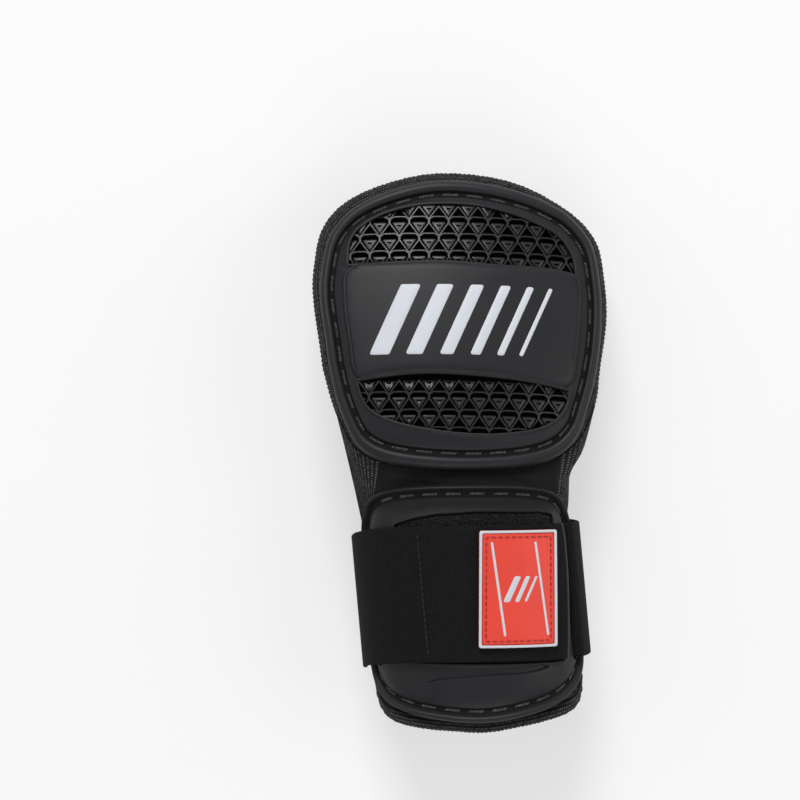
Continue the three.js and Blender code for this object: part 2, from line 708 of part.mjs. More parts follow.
// The farthest point of an outline at one place across, on the side that the sign tells
function edgeAt(loop, x, sign) {
  let best = -Infinity;
  loop.forEach((from, i) => {
    const to = loop[(i + 1) % loop.length];
    const spans = (from.x - x) * (to.x - x) <= 0 && from.x !== to.x;
    if (spans) best = Math.max(best, sign * (from.y + (to.y - from.y) * (x - from.x) / (to.x - from.x)));
  });
  return sign * best;
}

function fromHand(point, droop) {
  return point.applyAxisAngle(new THREE.Vector3(1, 0, 0), -droop).add(hinge);
}

function neckPiece(startShare, endShare, droop) {
  const span = endShare - startShare;
  const steps = Math.max(2, Math.round(neckSteps * span / 2));
  const low = neckLevel - neckThickness / 2;
  const high = neckLevel + neckThickness / 2;
  const handEdge = inset(coverLoop, -seat * 2);
  const wristEdge = inset(wristCoverLoop, -seat);
  const rows = [low, high].map((level) => {
    const stations = Array.from({ length: steps + 1 }, (_, i) => startShare + span * i / steps);
    return stations.map((share) => {
      const across = share * neckHandHalf;
      const run = share * neckWristHalf;
      const handSide = fromHand(handPlace(across, edgeAt(handEdge, across, -1), level), droop);
      const wristSide = wristPlace(run, edgeAt(wristEdge, run, 1), wristLinerBottom + level);
      return [wristSide, wristSide.clone().lerp(handSide, 0.5), handSide];
    });
  });
  const points = rows.flat(2);
  const across = rows[0][0].length;
  const at = (layer, station, place) => (layer * (steps + 1) + station) * across + place;
  const triangles = [];
  const face = (a, b, c, d) => triangles.push(a, b, c, a, c, d);
  for (let i = 0; i < steps; i += 1) {
    for (let j = 0; j + 1 < across; j += 1) {
      face(at(1, i, j), at(1, i + 1, j), at(1, i + 1, j + 1), at(1, i, j + 1));
      face(at(0, i, j), at(0, i, j + 1), at(0, i + 1, j + 1), at(0, i + 1, j));
    }
    face(at(0, i, 0), at(0, i + 1, 0), at(1, i + 1, 0), at(1, i, 0));
    face(at(0, i + 1, across - 1), at(0, i, across - 1), at(1, i, across - 1), at(1, i + 1, across - 1));
  }
  for (let j = 0; j + 1 < across; j += 1) {
    face(at(0, 0, j), at(1, 0, j), at(1, 0, j + 1), at(0, 0, j + 1));
    face(at(0, steps, j), at(0, steps, j + 1), at(1, steps, j + 1), at(1, steps, j));
  }
  return indexed(points, triangles);
}

// Materials

const shellRubber = new THREE.MeshStandardMaterial({ color: 0x2c2c2e, roughness: 0.62, metalness: 0 });
const latticeRubber = new THREE.MeshStandardMaterial({ color: 0x161618, roughness: 0.35, metalness: 0 });
const meshFabric = new THREE.MeshStandardMaterial({ color: 0x18181a, roughness: 0.9, metalness: 0 });
const smoothFabric = new THREE.MeshStandardMaterial({ color: 0x121213, roughness: 0.85, metalness: 0 });
const elastic = new THREE.MeshStandardMaterial({ color: 0x141416, roughness: 0.95, metalness: 0 });
const loopPile = new THREE.MeshStandardMaterial({ color: 0x101011, roughness: 1, metalness: 0 });
const foam = new THREE.MeshStandardMaterial({ color: 0x3a3a3d, roughness: 0.95, metalness: 0 });
const lining = new THREE.MeshStandardMaterial({ color: 0x1d1d20, roughness: 0.95, metalness: 0 });
const labelRed = new THREE.MeshStandardMaterial({ color: 0xee4434, roughness: 0.5, metalness: 0 });
const labelWhite = new THREE.MeshStandardMaterial({ color: 0xf0ebeb, roughness: 0.5, metalness: 0 });

function piece(name, geometry, material) {
  geometry.computeVertexNormals();
  const mesh = new THREE.Mesh(geometry, material);
  mesh.name = name;
  return mesh;
}

// Assembly

const handUnit = new THREE.Group();
handUnit.add(piece("hand_shell", handShell(), shellRubber));
handUnit.add(piece("lattice_insert", latticeInsert(), latticeRubber));
handUnit.add(piece("hand_cover", handCover(), meshFabric));
handUnit.add(piece("hand_foam", handFoam(), foam));
handUnit.add(piece("hand_liner", handLiner(), lining));

// The finger loops hang side by side from the lining, square to the crown midway between them
const loopCentreY = handNearEdge + handHalfLength * 2 - loopSetback - loopWidth / 2;
const loopTilt = Math.atan((middleLoopX + loopSpacing / 2 - crownCentreX) / crownAcross);
["finger_loop_middle", "finger_loop_ring"].forEach((name, i) => {
  const x = middleLoopX + i * loopSpacing;
  const loop = piece(name, fingerLoop(), elastic);
  loop.position.copy(handPlace(x, loopCentreY, -seat * 2));
  loop.rotation.set(Math.atan(-(loopCentreY - handCentreY) / crownAlong), loopTilt, 0);
  handUnit.add(loop);
});

// The hand unit slopes down until its lowest point meets the surface that the strap stands on
handUnit.updateMatrixWorld(true);
let droop = Math.PI / 2;
handUnit.traverse((mesh) => {
  if (!mesh.isMesh) return;
  const position = mesh.geometry.attributes.position;
  const point = new THREE.Vector3();
  for (let i = 0; i < position.count; i += 1) {
    point.fromBufferAttribute(position, i).applyMatrix4(mesh.matrixWorld);
    const reach = Math.hypot(point.y, point.z);
    if (reach > hinge.z && point.y > 0) {
      droop = Math.min(droop, Math.asin(hinge.z / reach) - Math.atan2(-point.z, point.y));
    }
  }
});
handUnit.rotation.x = -droop;
handUnit.position.copy(hinge);

const guard = new THREE.Group();
guard.add(handUnit);
guard.add(piece("neck_panel", neckPiece(neckSplitLeftShare, neckSplitRightShare, droop), smoothFabric));
const neckGap = seat / neckHandHalf;
guard.add(piece("neck_mesh_left", neckPiece(-1, neckSplitLeftShare - neckGap, droop), meshFabric));
guard.add(piece("neck_mesh_right", neckPiece(neckSplitRightShare + neckGap, 1, droop), meshFabric));
guard.add(piece("wrist_shell", wristShell(), shellRubber));
guard.add(piece("wrist_cover", wristCover(), meshFabric));
guard.add(piece("wrist_foam", wristFoam(), foam));
guard.add(piece("wrist_liner", wristLiner(), lining));
guard.add(piece("loop_patch", loopPatch(), loopPile));
guard.add(piece("hook_patch", hookPatch(), loopPile));
guard.add(piece("strap_wrap", strapWrap(), elastic));
guard.add(piece("strap_flap", strapFlap(), elastic));
guard.add(piece("label_base", labelBase(), labelRed));
guard.add(piece("label_border", labelRim(), labelWhite));

// The origin is the middle of the whole guard's footprint, on the surface it lies on
guard.updateMatrixWorld(true);
const bounds = new THREE.Box3().setFromObject(guard, true);
const middle = bounds.getCenter(new THREE.Vector3());
guard.position.set(-middle.x, -middle.y, -bounds.min.z);

export default guard;
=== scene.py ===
"""Batting hand protector: the looks of its shells, lattice, padding, fabric neck and wrist strap."""

import math

import bpy
import numpy as np
from bpy.props import FloatProperty, FloatVectorProperty, PointerProperty
from mathutils.geometry import delaunay_2d_cdt
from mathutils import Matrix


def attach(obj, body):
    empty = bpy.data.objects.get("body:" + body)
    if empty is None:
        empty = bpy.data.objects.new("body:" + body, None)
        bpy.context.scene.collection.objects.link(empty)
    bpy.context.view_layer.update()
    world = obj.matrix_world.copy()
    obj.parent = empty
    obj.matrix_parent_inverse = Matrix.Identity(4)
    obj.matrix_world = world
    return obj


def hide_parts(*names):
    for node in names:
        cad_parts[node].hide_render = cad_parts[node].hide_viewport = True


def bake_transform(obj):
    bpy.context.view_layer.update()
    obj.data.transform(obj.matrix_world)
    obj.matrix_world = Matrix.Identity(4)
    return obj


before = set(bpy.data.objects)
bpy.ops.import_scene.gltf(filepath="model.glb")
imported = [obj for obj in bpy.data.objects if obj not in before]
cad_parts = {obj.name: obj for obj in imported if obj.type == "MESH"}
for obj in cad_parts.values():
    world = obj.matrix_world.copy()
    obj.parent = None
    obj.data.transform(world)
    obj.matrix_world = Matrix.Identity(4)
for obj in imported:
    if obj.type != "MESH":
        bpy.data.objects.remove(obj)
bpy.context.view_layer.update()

bl_info = {
    "name": "Batting hand protector",
    "version": (1, 0, 0),
    "blender": (4, 5, 0),
    "location": "3D View > Sidebar > Guard",
    "description": "Builds the visual pieces of a batting hand protector around its packed model",
    "category": "Object",
}

MM = 0.001
TAU = 2 * math.pi
UV_SPAN = 100.0  # millimetres for one unit of UV

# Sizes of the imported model, in millimetres, on which the pieces are built
SEAT = 0.3
WRAP_SEAT = 0.6
HAND_HALF_WIDTH = 53.4
HAND_HALF_LENGTH = 56.2
HAND_NEAR_EDGE = 2.2
BEAD_WIDTH = 4.8
BEAD_HEIGHT = 3.5
GROOVE_WIDTH = 2.4
GROOVE_FLOOR = 1.0
RIM_SIDE_SHARE = 0.78
LAND_RUN = 3.0
LAND_HEIGHT = 2.9
LAND_DIP = 0.7
PANEL_RISE = 1.5
PANEL_SLOPE = 2.6
LIP_WIDTH = 1.2
LIP_RISE = 0.5
LINER_THICKNESS = 1.2
COVER_THICKNESS = 1.0
HAND_FOAM = 6.5
EDGE_ROLL = 3.4
COVER_LIP = 2.6
CROWN_ACROSS = 150.0
CROWN_CENTRE_X = -12.0
CROWN_ALONG = 260.0
LATTICE_PLATE = 0.8
LATTICE_PITCH = 7.5
LATTICE_ROW = 7.1
LOOP_BAND = 1.4
LOOP_WIDTH = 14.0
LOOP_INNER_WIDTH = 18.6
LOOP_INNER_DEPTH = 19.0
LOOP_CORNER = 6.0
LOOP_SETBACK = 8.0
LOOP_XS = {"finger_loop_middle": 1.0, "finger_loop_ring": 23.0}
STRAP_THICKNESS = 1.8
STRAP_WIDTH = 50.8
CROWN_RADIUS = 62.0
SIDE_RADIUS = 27.0
CROWN_ANGLE = math.radians(26)
WRIST_TOP = -2.0
STRAP_TOP = -17.1
WRIST_SHIFT = 0.8
LEAN_SHARE = 0.09
WRIST_HALF_RUN = 53.0
WRIST_HALF_LENGTH = 44.5
WRIST_BEAD = 4.6
WRIST_GROOVE = 2.4
WRIST_SHELL_TOP = -0.4
WRIST_LAND_DROP = 1.0
WRIST_GROOVE_DEPTH = 2.2
WRIST_SHELL_BOTTOM = -5.6
RECESS_DEPTH = 2.5
SLOT_START = 41.8
SLOT_WIDTH = 2.9
SLOT_MARGIN = 1.1
BAR_THICKNESS = 2.5
RECESS_LEFT = -27.5
RECESS_RIGHT = 36.0
STEP_RISE = 1.1
WRIST_FOAM = 5.8
WRIST_EDGE_ROLL = 3.0
WRIST_LIP = 1.4
WRIST_FAR_LIP = 5.0
FLAP_END = 38.6
HINGE_RUN = 60.0
HINGE_GAP = 0.6
LABEL_WIDTH = 28.8
LABEL_LENGTH = 43.4
LABEL_CENTRE_RUN = 18.4
LABEL_THICKNESS = 1.2
LABEL_FIELD = 0.6
LABEL_BORDER = 0.95
HOOK_START = 4.0
PATCH_THICKNESS = 1.0
NECK_HAND_HALF = 45.0
NECK_WRIST_HALF = 48.2
NECK_SPLITS = (-0.68, 0.82)
# Where the neck's left and right corners start on the hand pad, end on it, start on the wrist shell, end on it
NECK_CORNERS = ((-0.68, 25.0, -38.0, -22.0), (0.82, 30.0, 41.0, -16.0))
NECK_THICKNESS = 1.5
# The bow of the neck's right flank, at shares of its length
FLANK_BOW = ([0, 0.1, 0.22, 0.39, 0.48, 0.57, 0.65, 1], [0, -0.3, -1.4, -3.1, -2.2, -0.5, 0, 0])

DROOP = math.radians(11.322921)  # of the hand unit, towards the fingers
GUARD_SHIFT = np.array([-0.02004, -9.51181, 0.0])  # from the frame that the sizes are given in to the shared frame

# Finer sizes that only the visual pieces have
THIN_BEAD = (1.9, 3.1)  # the wrist bead's width at its near end and at its far end
STITCH_GROOVE = (3.0, 2.5)  # and its groove's width
STRAP_DROP = 5.9  # how far the strap's left end hangs below its middle
PANEL_DROP = 2.0
UPPER_ROWS = (-0.42, 96.2, 6.9)  # a cell's place, and the pitch of the rows, in the upper window
LOWER_ROWS = (-0.55, 28.05, 6.6)
PANEL_BARS = ((-24.5, 7.6), (-11.5, 6.4), (0.6, 5.2), (11.4, 4.0), (20.8, 2.8), (28.6, 1.7))  # place, width
LABEL_BARS = ((-2.7, 2.4), (1.1, 1.7), (4.3, 1.0))
LABEL_LINES = (-7.6, 8.4)
BAR_SLANT, LINE_SLANT = math.radians(24), math.radians(-8)
GROUP_THREADS = 8  # in each group of groove stitches
THREAD_LEAN = math.radians(58)  # across the groove

# Folds in the pads' edges: pitch, drift, length of the drift, pitch of the finer folds, height above and below
HAND_FOLDS = (6.4, 1.7, 19, 3.1, 0.16, 0.08)
WRIST_FOLDS = (6.1, 1.5, 17, 3.3, 0.15, 0.15)

# Each lining as a flat fabric: its width and length in metres, and its area in square metres
HAND_LINING_SHEET = ((0.1104, 0.1134), 0.0108)
WRIST_LINING_SHEET = ((0.0815, 0.0922), 0.0066)

HAND_SHARES = [
    (1.0, 0.2), (0.95, 0.53), (0.82, 0.72), (0.6, 0.86), (0.31, 0.965), (-0.13, 1.0), (-0.42, 0.95),
    (-0.71, 0.84), (-0.85, 0.73), (-0.95, 0.57), (-1.0, 0.25), (-0.93, -0.13), (-0.8, -0.66),
    (-0.72, -0.83), (-0.56, -0.935), (-0.06, -1.0), (0.5, -0.955), (0.7, -0.87), (0.81, -0.74),
    (0.87, -0.54), (0.97, -0.13),
]
UPPER_WINDOW_SHARES = [
    (0.83, 0.36), (0.81, 0.47), (0.765, 0.555), (0.7, 0.625), (0.62, 0.668), (0.45, 0.735),
    (0.234, 0.79), (0.014, 0.815), (-0.277, 0.805), (-0.5, 0.757), (-0.65, 0.69), (-0.74, 0.62),
    (-0.785, 0.54), (-0.79, 0.43),
]
UPPER_SILL_SHARES = [(-0.45, 0.436), (-0.128, 0.443), (0.305, 0.418), (0.6, 0.392)]
LOWER_WINDOW_SHARES = [
    (-0.72, -0.38), (-0.69, -0.48), (-0.638, -0.565), (-0.56, -0.622), (-0.418, -0.676),
    (-0.128, -0.727), (0.163, -0.744), (0.376, -0.727), (0.567, -0.686), (0.69, -0.61),
    (0.75, -0.51), (0.768, -0.42),
]
LOWER_SILL_SHARES = [(0.55, -0.385), (0.163, -0.35), (-0.277, -0.336), (-0.52, -0.355)]
PANEL_SHARES = [
    (0.866, 0.08), (0.86, 0.33), (0.8, 0.365), (0.6, 0.385), (0.305, 0.41), (-0.128, 0.436),
    (-0.45, 0.43), (-0.77, 0.415), (-0.825, 0.36), (-0.83, 0.15), (-0.795, -0.1), (-0.765, -0.29),
    (-0.72, -0.365), (-0.55, -0.348), (-0.277, -0.328), (0.163, -0.342), (0.5, -0.372),
    (0.74, -0.4), (0.805, -0.35), (0.84, -0.13),
]
WRIST_SHARES = [
    (1.0, -0.1), (0.965, 0.3), (0.92, 0.66), (0.84, 0.83), (0.72, 0.93), (0.5, 0.985), (0, 1.0),
    (-0.45, 0.975), (-0.68, 0.92), (-0.82, 0.82), (-0.9, 0.65), (-0.965, 0.3), (-1.0, -0.1),
    (-1.0, -0.5), (-0.94, -0.69), (-0.82, -0.83), (-0.6, -0.93), (-0.3, -0.985), (0, -1.0),
    (0.3, -0.95), (0.6, -0.85), (0.84, -0.69), (0.97, -0.5),
]

# The stage, in metres: each light's name, place, size and power
FLOOR_SPAN = 3.0
CAMERA_PLACE = (-0.0227, 0.0200, 0.885)
LIGHTS = (
    ("key_light", (-0.3, 1.75, 1.65), 1.0, 34), ("left_light", (-1.8, 0.1, 1.35), 1.3, 4.5),
    ("right_light", (1.8, 0.0, 1.35), 1.3, 10), ("near_light", (0.2, -1.8, 1.35), 1.4, 10),
)

# Levels of the hand unit above its lining's underside
FOAM_BOTTOM = LINER_THICKNESS + SEAT
FOAM_TOP = FOAM_BOTTOM + HAND_FOAM
COVER_TOP = FOAM_TOP + SEAT + COVER_THICKNESS
SHELL_SEAT = COVER_TOP + SEAT
LATTICE_TOP = SHELL_SEAT + LATTICE_PLATE
SHELL_CAVITY = LATTICE_TOP + SEAT
LAND_TOP = SHELL_SEAT + LAND_HEIGHT
HAND_CENTRE_Y = HAND_NEAR_EDGE + HAND_HALF_LENGTH
LOOP_CENTRE_Y = HAND_NEAR_EDGE + HAND_HALF_LENGTH * 2 - LOOP_SETBACK - LOOP_WIDTH / 2
NECK_LEVEL = FOAM_BOTTOM + HAND_FOAM / 2

# Levels of the wrist unit, outward from the strap's inner face
RECESS_FLOOR = WRIST_SHELL_TOP - RECESS_DEPTH
WRIST_LAND = WRIST_SHELL_TOP - WRIST_LAND_DROP
WRIST_COVER_TOP = WRIST_SHELL_BOTTOM - WRAP_SEAT
WRIST_FOAM_TOP = WRIST_COVER_TOP - COVER_THICKNESS - WRAP_SEAT
WRIST_FOAM_BOTTOM = WRIST_FOAM_TOP - WRIST_FOAM
WRIST_LINER_TOP = WRIST_FOAM_BOTTOM - WRAP_SEAT
WRIST_LINER_BOTTOM = WRIST_LINER_TOP - LINER_THICKNESS
WRIST_CENTRE_Y = WRIST_TOP - WRIST_HALF_LENGTH
STRAP_BOTTOM = STRAP_TOP - STRAP_WIDTH
STRAP_MIDDLE = (STRAP_TOP + STRAP_BOTTOM) / 2
FOLD_GAP = HINGE_GAP * 0.06  # what is left open at the strap's fold
LABEL_FACE = STRAP_THICKNESS + SEAT + LABEL_THICKNESS + LABEL_FIELD
CROWN_RUN = CROWN_RADIUS * CROWN_ANGLE
SIDE_RUN = SIDE_RADIUS * (math.pi - CROWN_ANGLE)
SIDE_CENTRE_X = (CROWN_RADIUS - SIDE_RADIUS) * math.sin(CROWN_ANGLE)
SIDE_CENTRE_Z = STRAP_THICKNESS + SIDE_RADIUS
CROWN_CENTRE_Z = SIDE_CENTRE_Z - (CROWN_RADIUS - SIDE_RADIUS) * math.cos(CROWN_ANGLE)
HALF_LOOP = CROWN_RUN + SIDE_RUN + SIDE_CENTRE_X
HINGE_Z = CROWN_CENTRE_Z + CROWN_RADIUS + WRIST_LINER_BOTTOM + NECK_LEVEL


# Places


def hand_place(x, y, height):
    """Flat points of the hand unit, in millimetres, to their places on the crowned pad, in metres."""
    x, y, height = np.broadcast_arrays(*(np.asarray(v, float) for v in (x, y, height)))
    near = HAND_CENTRE_Y - HAND_NEAR_EDGE
    crown = (near**2 - (y - HAND_CENTRE_Y) ** 2) / (2 * CROWN_ALONG)
    crown = crown - ((x - CROWN_CENTRE_X) ** 2 - CROWN_CENTRE_X**2) / (2 * CROWN_ACROSS)
    z = height - NECK_LEVEL + crown
    out = np.stack([
        x, y * math.cos(DROOP) + z * math.sin(DROOP), HINGE_Z - y * math.sin(DROOP) + z * math.cos(DROOP),
    ], -1)
    return (out + GUARD_SHIFT) * MM


def wrist_place(run, y, height):
    """Points along the strap's loop, in millimetres, to their places round the wrist, in metres."""
    run, y, height = np.broadcast_arrays(*(np.asarray(v, float) for v in (run, y, height)))
    run = np.where(run > HALF_LOOP, run - 2 * HALF_LOOP, run)
    side = np.where(run < 0, -1.0, 1.0)
    far = np.abs(run)
    crown = far / CROWN_RADIUS
    flank = CROWN_ANGLE + (far - CROWN_RUN) / SIDE_RADIUS
    on_crown, on_flank = far <= CROWN_RUN, far <= CROWN_RUN + SIDE_RUN
    angle = np.where(on_crown, crown, np.where(on_flank, flank, math.pi))
    radius = np.where(on_crown, CROWN_RADIUS, np.where(on_flank, SIDE_RADIUS, 0.0))
    x = np.where(on_crown, 0.0, np.where(on_flank, SIDE_CENTRE_X, HALF_LOOP - far)) + np.sin(angle) * radius
    low = np.where(on_crown, CROWN_CENTRE_Z, np.where(on_flank, SIDE_CENTRE_Z, STRAP_THICKNESS))
    z = low + np.cos(angle) * radius
    lean = WRIST_SHIFT - LEAN_SHARE * (y - WRIST_TOP)
    out = np.stack([
        side * (x + np.sin(angle) * height) + lean, y, z + np.cos(angle) * height,
    ], -1)
    return (out + GUARD_SHIFT) * MM


# Flat outlines


def smooth(t):
    """A smooth step, from 0 at 0 to 1 at 1."""
    t = np.clip(t, 0.0, 1.0)
    return t * t * (3 - 2 * t)


def curve(knots, closed=True, per=16):
    """A centripetal Catmull-Rom curve through the knots."""
    knots = np.asarray(knots, float)
    count = len(knots)
    if closed:
        padded = np.vstack([knots[-1], knots, knots[:2]])
    else:
        padded = np.vstack([2 * knots[0] - knots[1], knots, 2 * knots[-1] - knots[-2]])
        count -= 1
    t = np.linspace(0, 1, per, endpoint=False)[:, None]
    out = []
    for i in range(count):
        a, b, c, d = padded[i:i + 4]
        ab, bc, cd = (max(float(np.hypot(*(q - p))), 1e-9) ** 0.5 for p, q in ((a, b), (b, c), (c, d)))
        m1 = ((b - a) / ab - (c - a) / (ab + bc) + (c - b) / bc) * bc
        m2 = ((c - b) / bc - (d - b) / (bc + cd) + (d - c) / cd) * bc
        out.append(b + m1 * t + (3 * (c - b) - 2 * m1 - m2) * t**2 + (m1 + m2 - 2 * (c - b)) * t**3)
    if not closed:
        out.append(knots[-1:])
    return np.vstack(out)


def lengths_along(line, closed=False):
    """The length gone at each point of a line, and back at its first point where it is closed."""
    if closed:
        line = np.vstack([line, line[:1]])
    return np.concatenate([[0], np.cumsum(np.hypot(*np.diff(line, axis=0).T))])


def spaced(points, step, closed=True):
    """The same line with points an even step apart."""
    line = np.vstack([points, points[:1]]) if closed else points
    gone = lengths_along(line)
    at = np.linspace(0, gone[-1], max(3, int(round(gone[-1] / step))) + 1)[:-1 if closed else None]
    return np.stack([np.interp(at, gone, line[:, k]) for k in range(2)], 1)


def outline(shares, half_width, half_length, centre, step):
    """A closed outline from knots given as shares of its half width and half length."""
    return spaced(curve(np.asarray(shares) * (half_width, half_length) + centre), step)


def offset(loop, distance, side_share=1.0):
    """A closed line moved inward, or outward where the distance is negative."""
    scale = np.array([side_share, 1.0])
    points = loop / scale
    along = np.roll(points, -1, 0) - np.roll(points, 1, 0)
    along /= np.hypot(*along.T)[:, None]
    return (points + np.stack([-along[:, 1], along[:, 0]], 1) * distance) * scale


def depth_in(points, loop, side_share=1.0):
    """How far each point is inside a closed line; negative outside it."""
    scale = np.array([side_share, 1.0])
    points, loop = points / scale, loop / scale
    a, b = loop, np.roll(loop, -1, 0)
    run = b - a
    size = (run**2).sum(1)
    best = np.empty(len(points))
    inside = np.zeros(len(points), bool)
    for start in range(0, len(points), 4000):
        p = points[start:start + 4000, None]
        t = np.clip(((p - a) * run).sum(2) / size, 0, 1)[..., None]
        best[start:start + 4000] = np.sqrt((((p - a) - run * t) ** 2).sum(2).min(1))
        spans = (a[:, 1] > p[..., 1]) != (b[:, 1] > p[..., 1])
        rise = np.where(run[:, 1] == 0, 1e-12, run[:, 1])
        cross = a[:, 0] + (p[..., 1] - a[:, 1]) / rise * run[:, 0]
        inside[start:start + 4000] = (spans & (p[..., 0] < cross)).sum(1) % 2 == 1
    return np.where(inside, best, -best)


def window(shares, sill):
    """A window's outline: its side, then its sill, with corners where they meet."""
    runs = []
    for knots in (shares, [shares[-1], *sill, shares[0]]):
        flat = np.asarray(knots) * (HAND_HALF_WIDTH, HAND_HALF_LENGTH) + (0.0, HAND_CENTRE_Y)
        runs.append(spaced(curve(flat, closed=False), 0.8, closed=False)[:-1])
    return np.vstack(runs)


def panel_drop(x):
    """How much lower the panel's far edge lies than its solid's."""
    return PANEL_DROP * (1 - smooth((x - 8) / 34))


FINE = 1.0
HAND_LOOP = outline(HAND_SHARES, HAND_HALF_WIDTH, HAND_HALF_LENGTH, (0, HAND_CENTRE_Y), FINE)
COVER_HALF_LENGTH = HAND_HALF_LENGTH + COVER_LIP / 2
COVER_LOOP = outline(
    HAND_SHARES, HAND_HALF_WIDTH + COVER_LIP, COVER_HALF_LENGTH, (0, HAND_NEAR_EDGE + COVER_HALF_LENGTH), FINE)
PANEL_LOOP = outline(PANEL_SHARES, HAND_HALF_WIDTH, HAND_HALF_LENGTH, (0, HAND_CENTRE_Y), FINE)
PANEL_LOOP[:, 1] -= np.where(PANEL_LOOP[:, 1] > 60, panel_drop(PANEL_LOOP[:, 0]), PANEL_DROP)
UPPER_WINDOW = window(UPPER_WINDOW_SHARES, UPPER_SILL_SHARES)
LOWER_WINDOW = window(LOWER_WINDOW_SHARES, LOWER_SILL_SHARES)
UPPER_WINDOW[:, 1] -= panel_drop(UPPER_WINDOW[:, 0]) * smooth((94 - UPPER_WINDOW[:, 1]) / 10)
LOWER_WINDOW[:, 1] -= PANEL_DROP * (0.6 + 0.4 * smooth((LOWER_WINDOW[:, 1] - 20) / 12))
WRIST_LOOP = outline(WRIST_SHARES, WRIST_HALF_RUN, WRIST_HALF_LENGTH, (0, WRIST_CENTRE_Y), FINE)
WRIST_COVER_HALF = WRIST_HALF_LENGTH + WRIST_FAR_LIP / 2
WRIST_COVER_LOOP = outline(
    WRIST_SHARES, WRIST_HALF_RUN + WRIST_LIP, WRIST_COVER_HALF, (0, WRIST_TOP - WRIST_COVER_HALF), FINE)


def rim_swell(x, y):
    """How far the hand shell's rim stands out past its solid's."""
    right = np.interp(y, [5, 12, 20, 28, 36, 46, 62, 79, 86, 92, 103, 110, 114],
                      [0, 0.8, 1.7, 2.3, 2.5, 2.1, 1.35, 1.1, 1.5, 2.0, 2.1, 1.0, 0.2]) * smooth((x - 12) / 20)
    left = np.interp(y, [5, 14, 22, 29, 42, 54, 69, 82, 95], [0, 0.4, 1.2, 1.7, 1.8, 1.0, 0, -0.4, 0])
    return right + left * smooth((-x - 12) / 20)


HAND_LOOP = spaced(offset(HAND_LOOP, -rim_swell(*HAND_LOOP.T)[:, None]), FINE)


def hand_swell(x, y):
    """How far the hand pad's soft edge stands out past its solid's."""
    far = 0.2 * smooth((y - 30) / 20) + 1.9 * smooth((y - 82) / 22)
    corner = np.where(x > 0, 2.3, 1.2) * np.exp(-((np.abs(x) - 48) / 7) ** 2 - ((y - 28) / 12) ** 2)
    right = np.interp(y, [12, 24, 30, 36, 48, 62, 79, 86, 92, 103], [0, 0, 0.7, 1.3, 0.9, 1.0, 0.7, 0.9, 1.0, -0.2])
    left = np.interp(y, [20, 29, 42.6, 55, 69], [0, 0.3, 1.7, 1.0, 0])
    return far + corner + right * smooth((x - 30) / 8) + left * smooth((-x - 30) / 8)


def wrist_swell(x, y):
    """How far the wrist pad's soft edge stands out past its solid's."""
    corner = 3.9 * np.exp(-((np.abs(x) - 45) / 13) ** 2 - ((y + 81) / 13) ** 2)
    return corner - 0.7 * smooth((-86 - y) / 6) * smooth((24 - np.abs(x)) / 14)


PAD_LOOP = offset(COVER_LOOP, -hand_swell(*COVER_LOOP.T)[:, None])
WRIST_PAD_LOOP = offset(WRIST_COVER_LOOP, -wrist_swell(*WRIST_COVER_LOOP.T)[:, None])


def bead_widths(y):
    """The wrist bead's and its groove's widths, which change from the near end to the far end."""
    far = smooth((-12 - y) / 60)
    return (THIN_BEAD[0] + (THIN_BEAD[1] - THIN_BEAD[0]) * far,
            STITCH_GROOVE[0] + (STITCH_GROOVE[1] - STITCH_GROOVE[0]) * far)


def bead_inset(station, y):
    """Where a station of the wrist shell's rim lies, in from the outline."""
    bead, groove = bead_widths(y)
    return np.where(station < WRIST_BEAD, station * bead / WRIST_BEAD, np.where(
        station < WRIST_BEAD + WRIST_GROOVE, bead + (station - WRIST_BEAD) * groove / WRIST_GROOVE,
        station - WRIST_BEAD - WRIST_GROOVE + bead + groove))


def bead_station(inset, y):
    """The station of the wrist shell's rim at an inset; undoes bead_inset."""
    bead, groove = bead_widths(y)
    return np.where(inset < bead, inset * WRIST_BEAD / bead, np.where(
        inset < bead + groove, WRIST_BEAD + (inset - bead) * WRIST_GROOVE / groove,
        inset - bead - groove + WRIST_BEAD + WRIST_GROOVE))


def strap_place(run, y, height):
    """As wrist_place, with the strap's sag towards the left side of the loop and its bowed right end."""
    wrapped = np.where(np.asarray(run) > HALF_LOOP, np.asarray(run) - 2 * HALF_LOOP, run)
    sag = np.interp(wrapped, [-116, -75, -60, -50, -40, -30, -20, 0, 40, 60, 116],
                    [0, -0.83, -1, -0.66, -0.38, -0.2, -0.09, 0, 0.05, 0.05, 0]) * STRAP_DROP
    return wrist_place(run, y + sag, height)


def flap_place(run, y, height):
    """As strap_place, with the bow in the flap's free end."""
    share = (np.asarray(y) - STRAP_BOTTOM) / STRAP_WIDTH
    bow = np.interp(share, [0, 0.1, 0.25, 0.5, 0.65, 0.88, 1.0], [-3.2, -2.3, -1.34, 0, 0.6, 0.8, 0])
    return strap_place(run + bow * smooth((np.asarray(run) - 28) / 10), y, height)


def label_place(run, y, height):
    """As wrist_place, for the label, which stands upright on the leaning strap."""
    return wrist_place(run + LEAN_SHARE * (y - STRAP_MIDDLE) - 1.8, y + 1.9, height)


# Meshes


def values_of(items, key, width=1, kind=float):
    """One attribute of all of a mesh's points, corners or triangles."""
    out = np.empty(len(items) * width, kind)
    items.foreach_get(key, out)
    return out.reshape(-1, width) if width > 1 else out


def set_uv(mesh, uv):
    """Gives each corner of a mesh the UV pair of its point."""
    layer = mesh.uv_layers.get("UVMap") or mesh.uv_layers.new(name="UVMap")
    corners = values_of(mesh.loops, "vertex_index", kind=int)
    layer.data.foreach_set("uv", np.asarray(uv, np.float32)[corners].ravel())


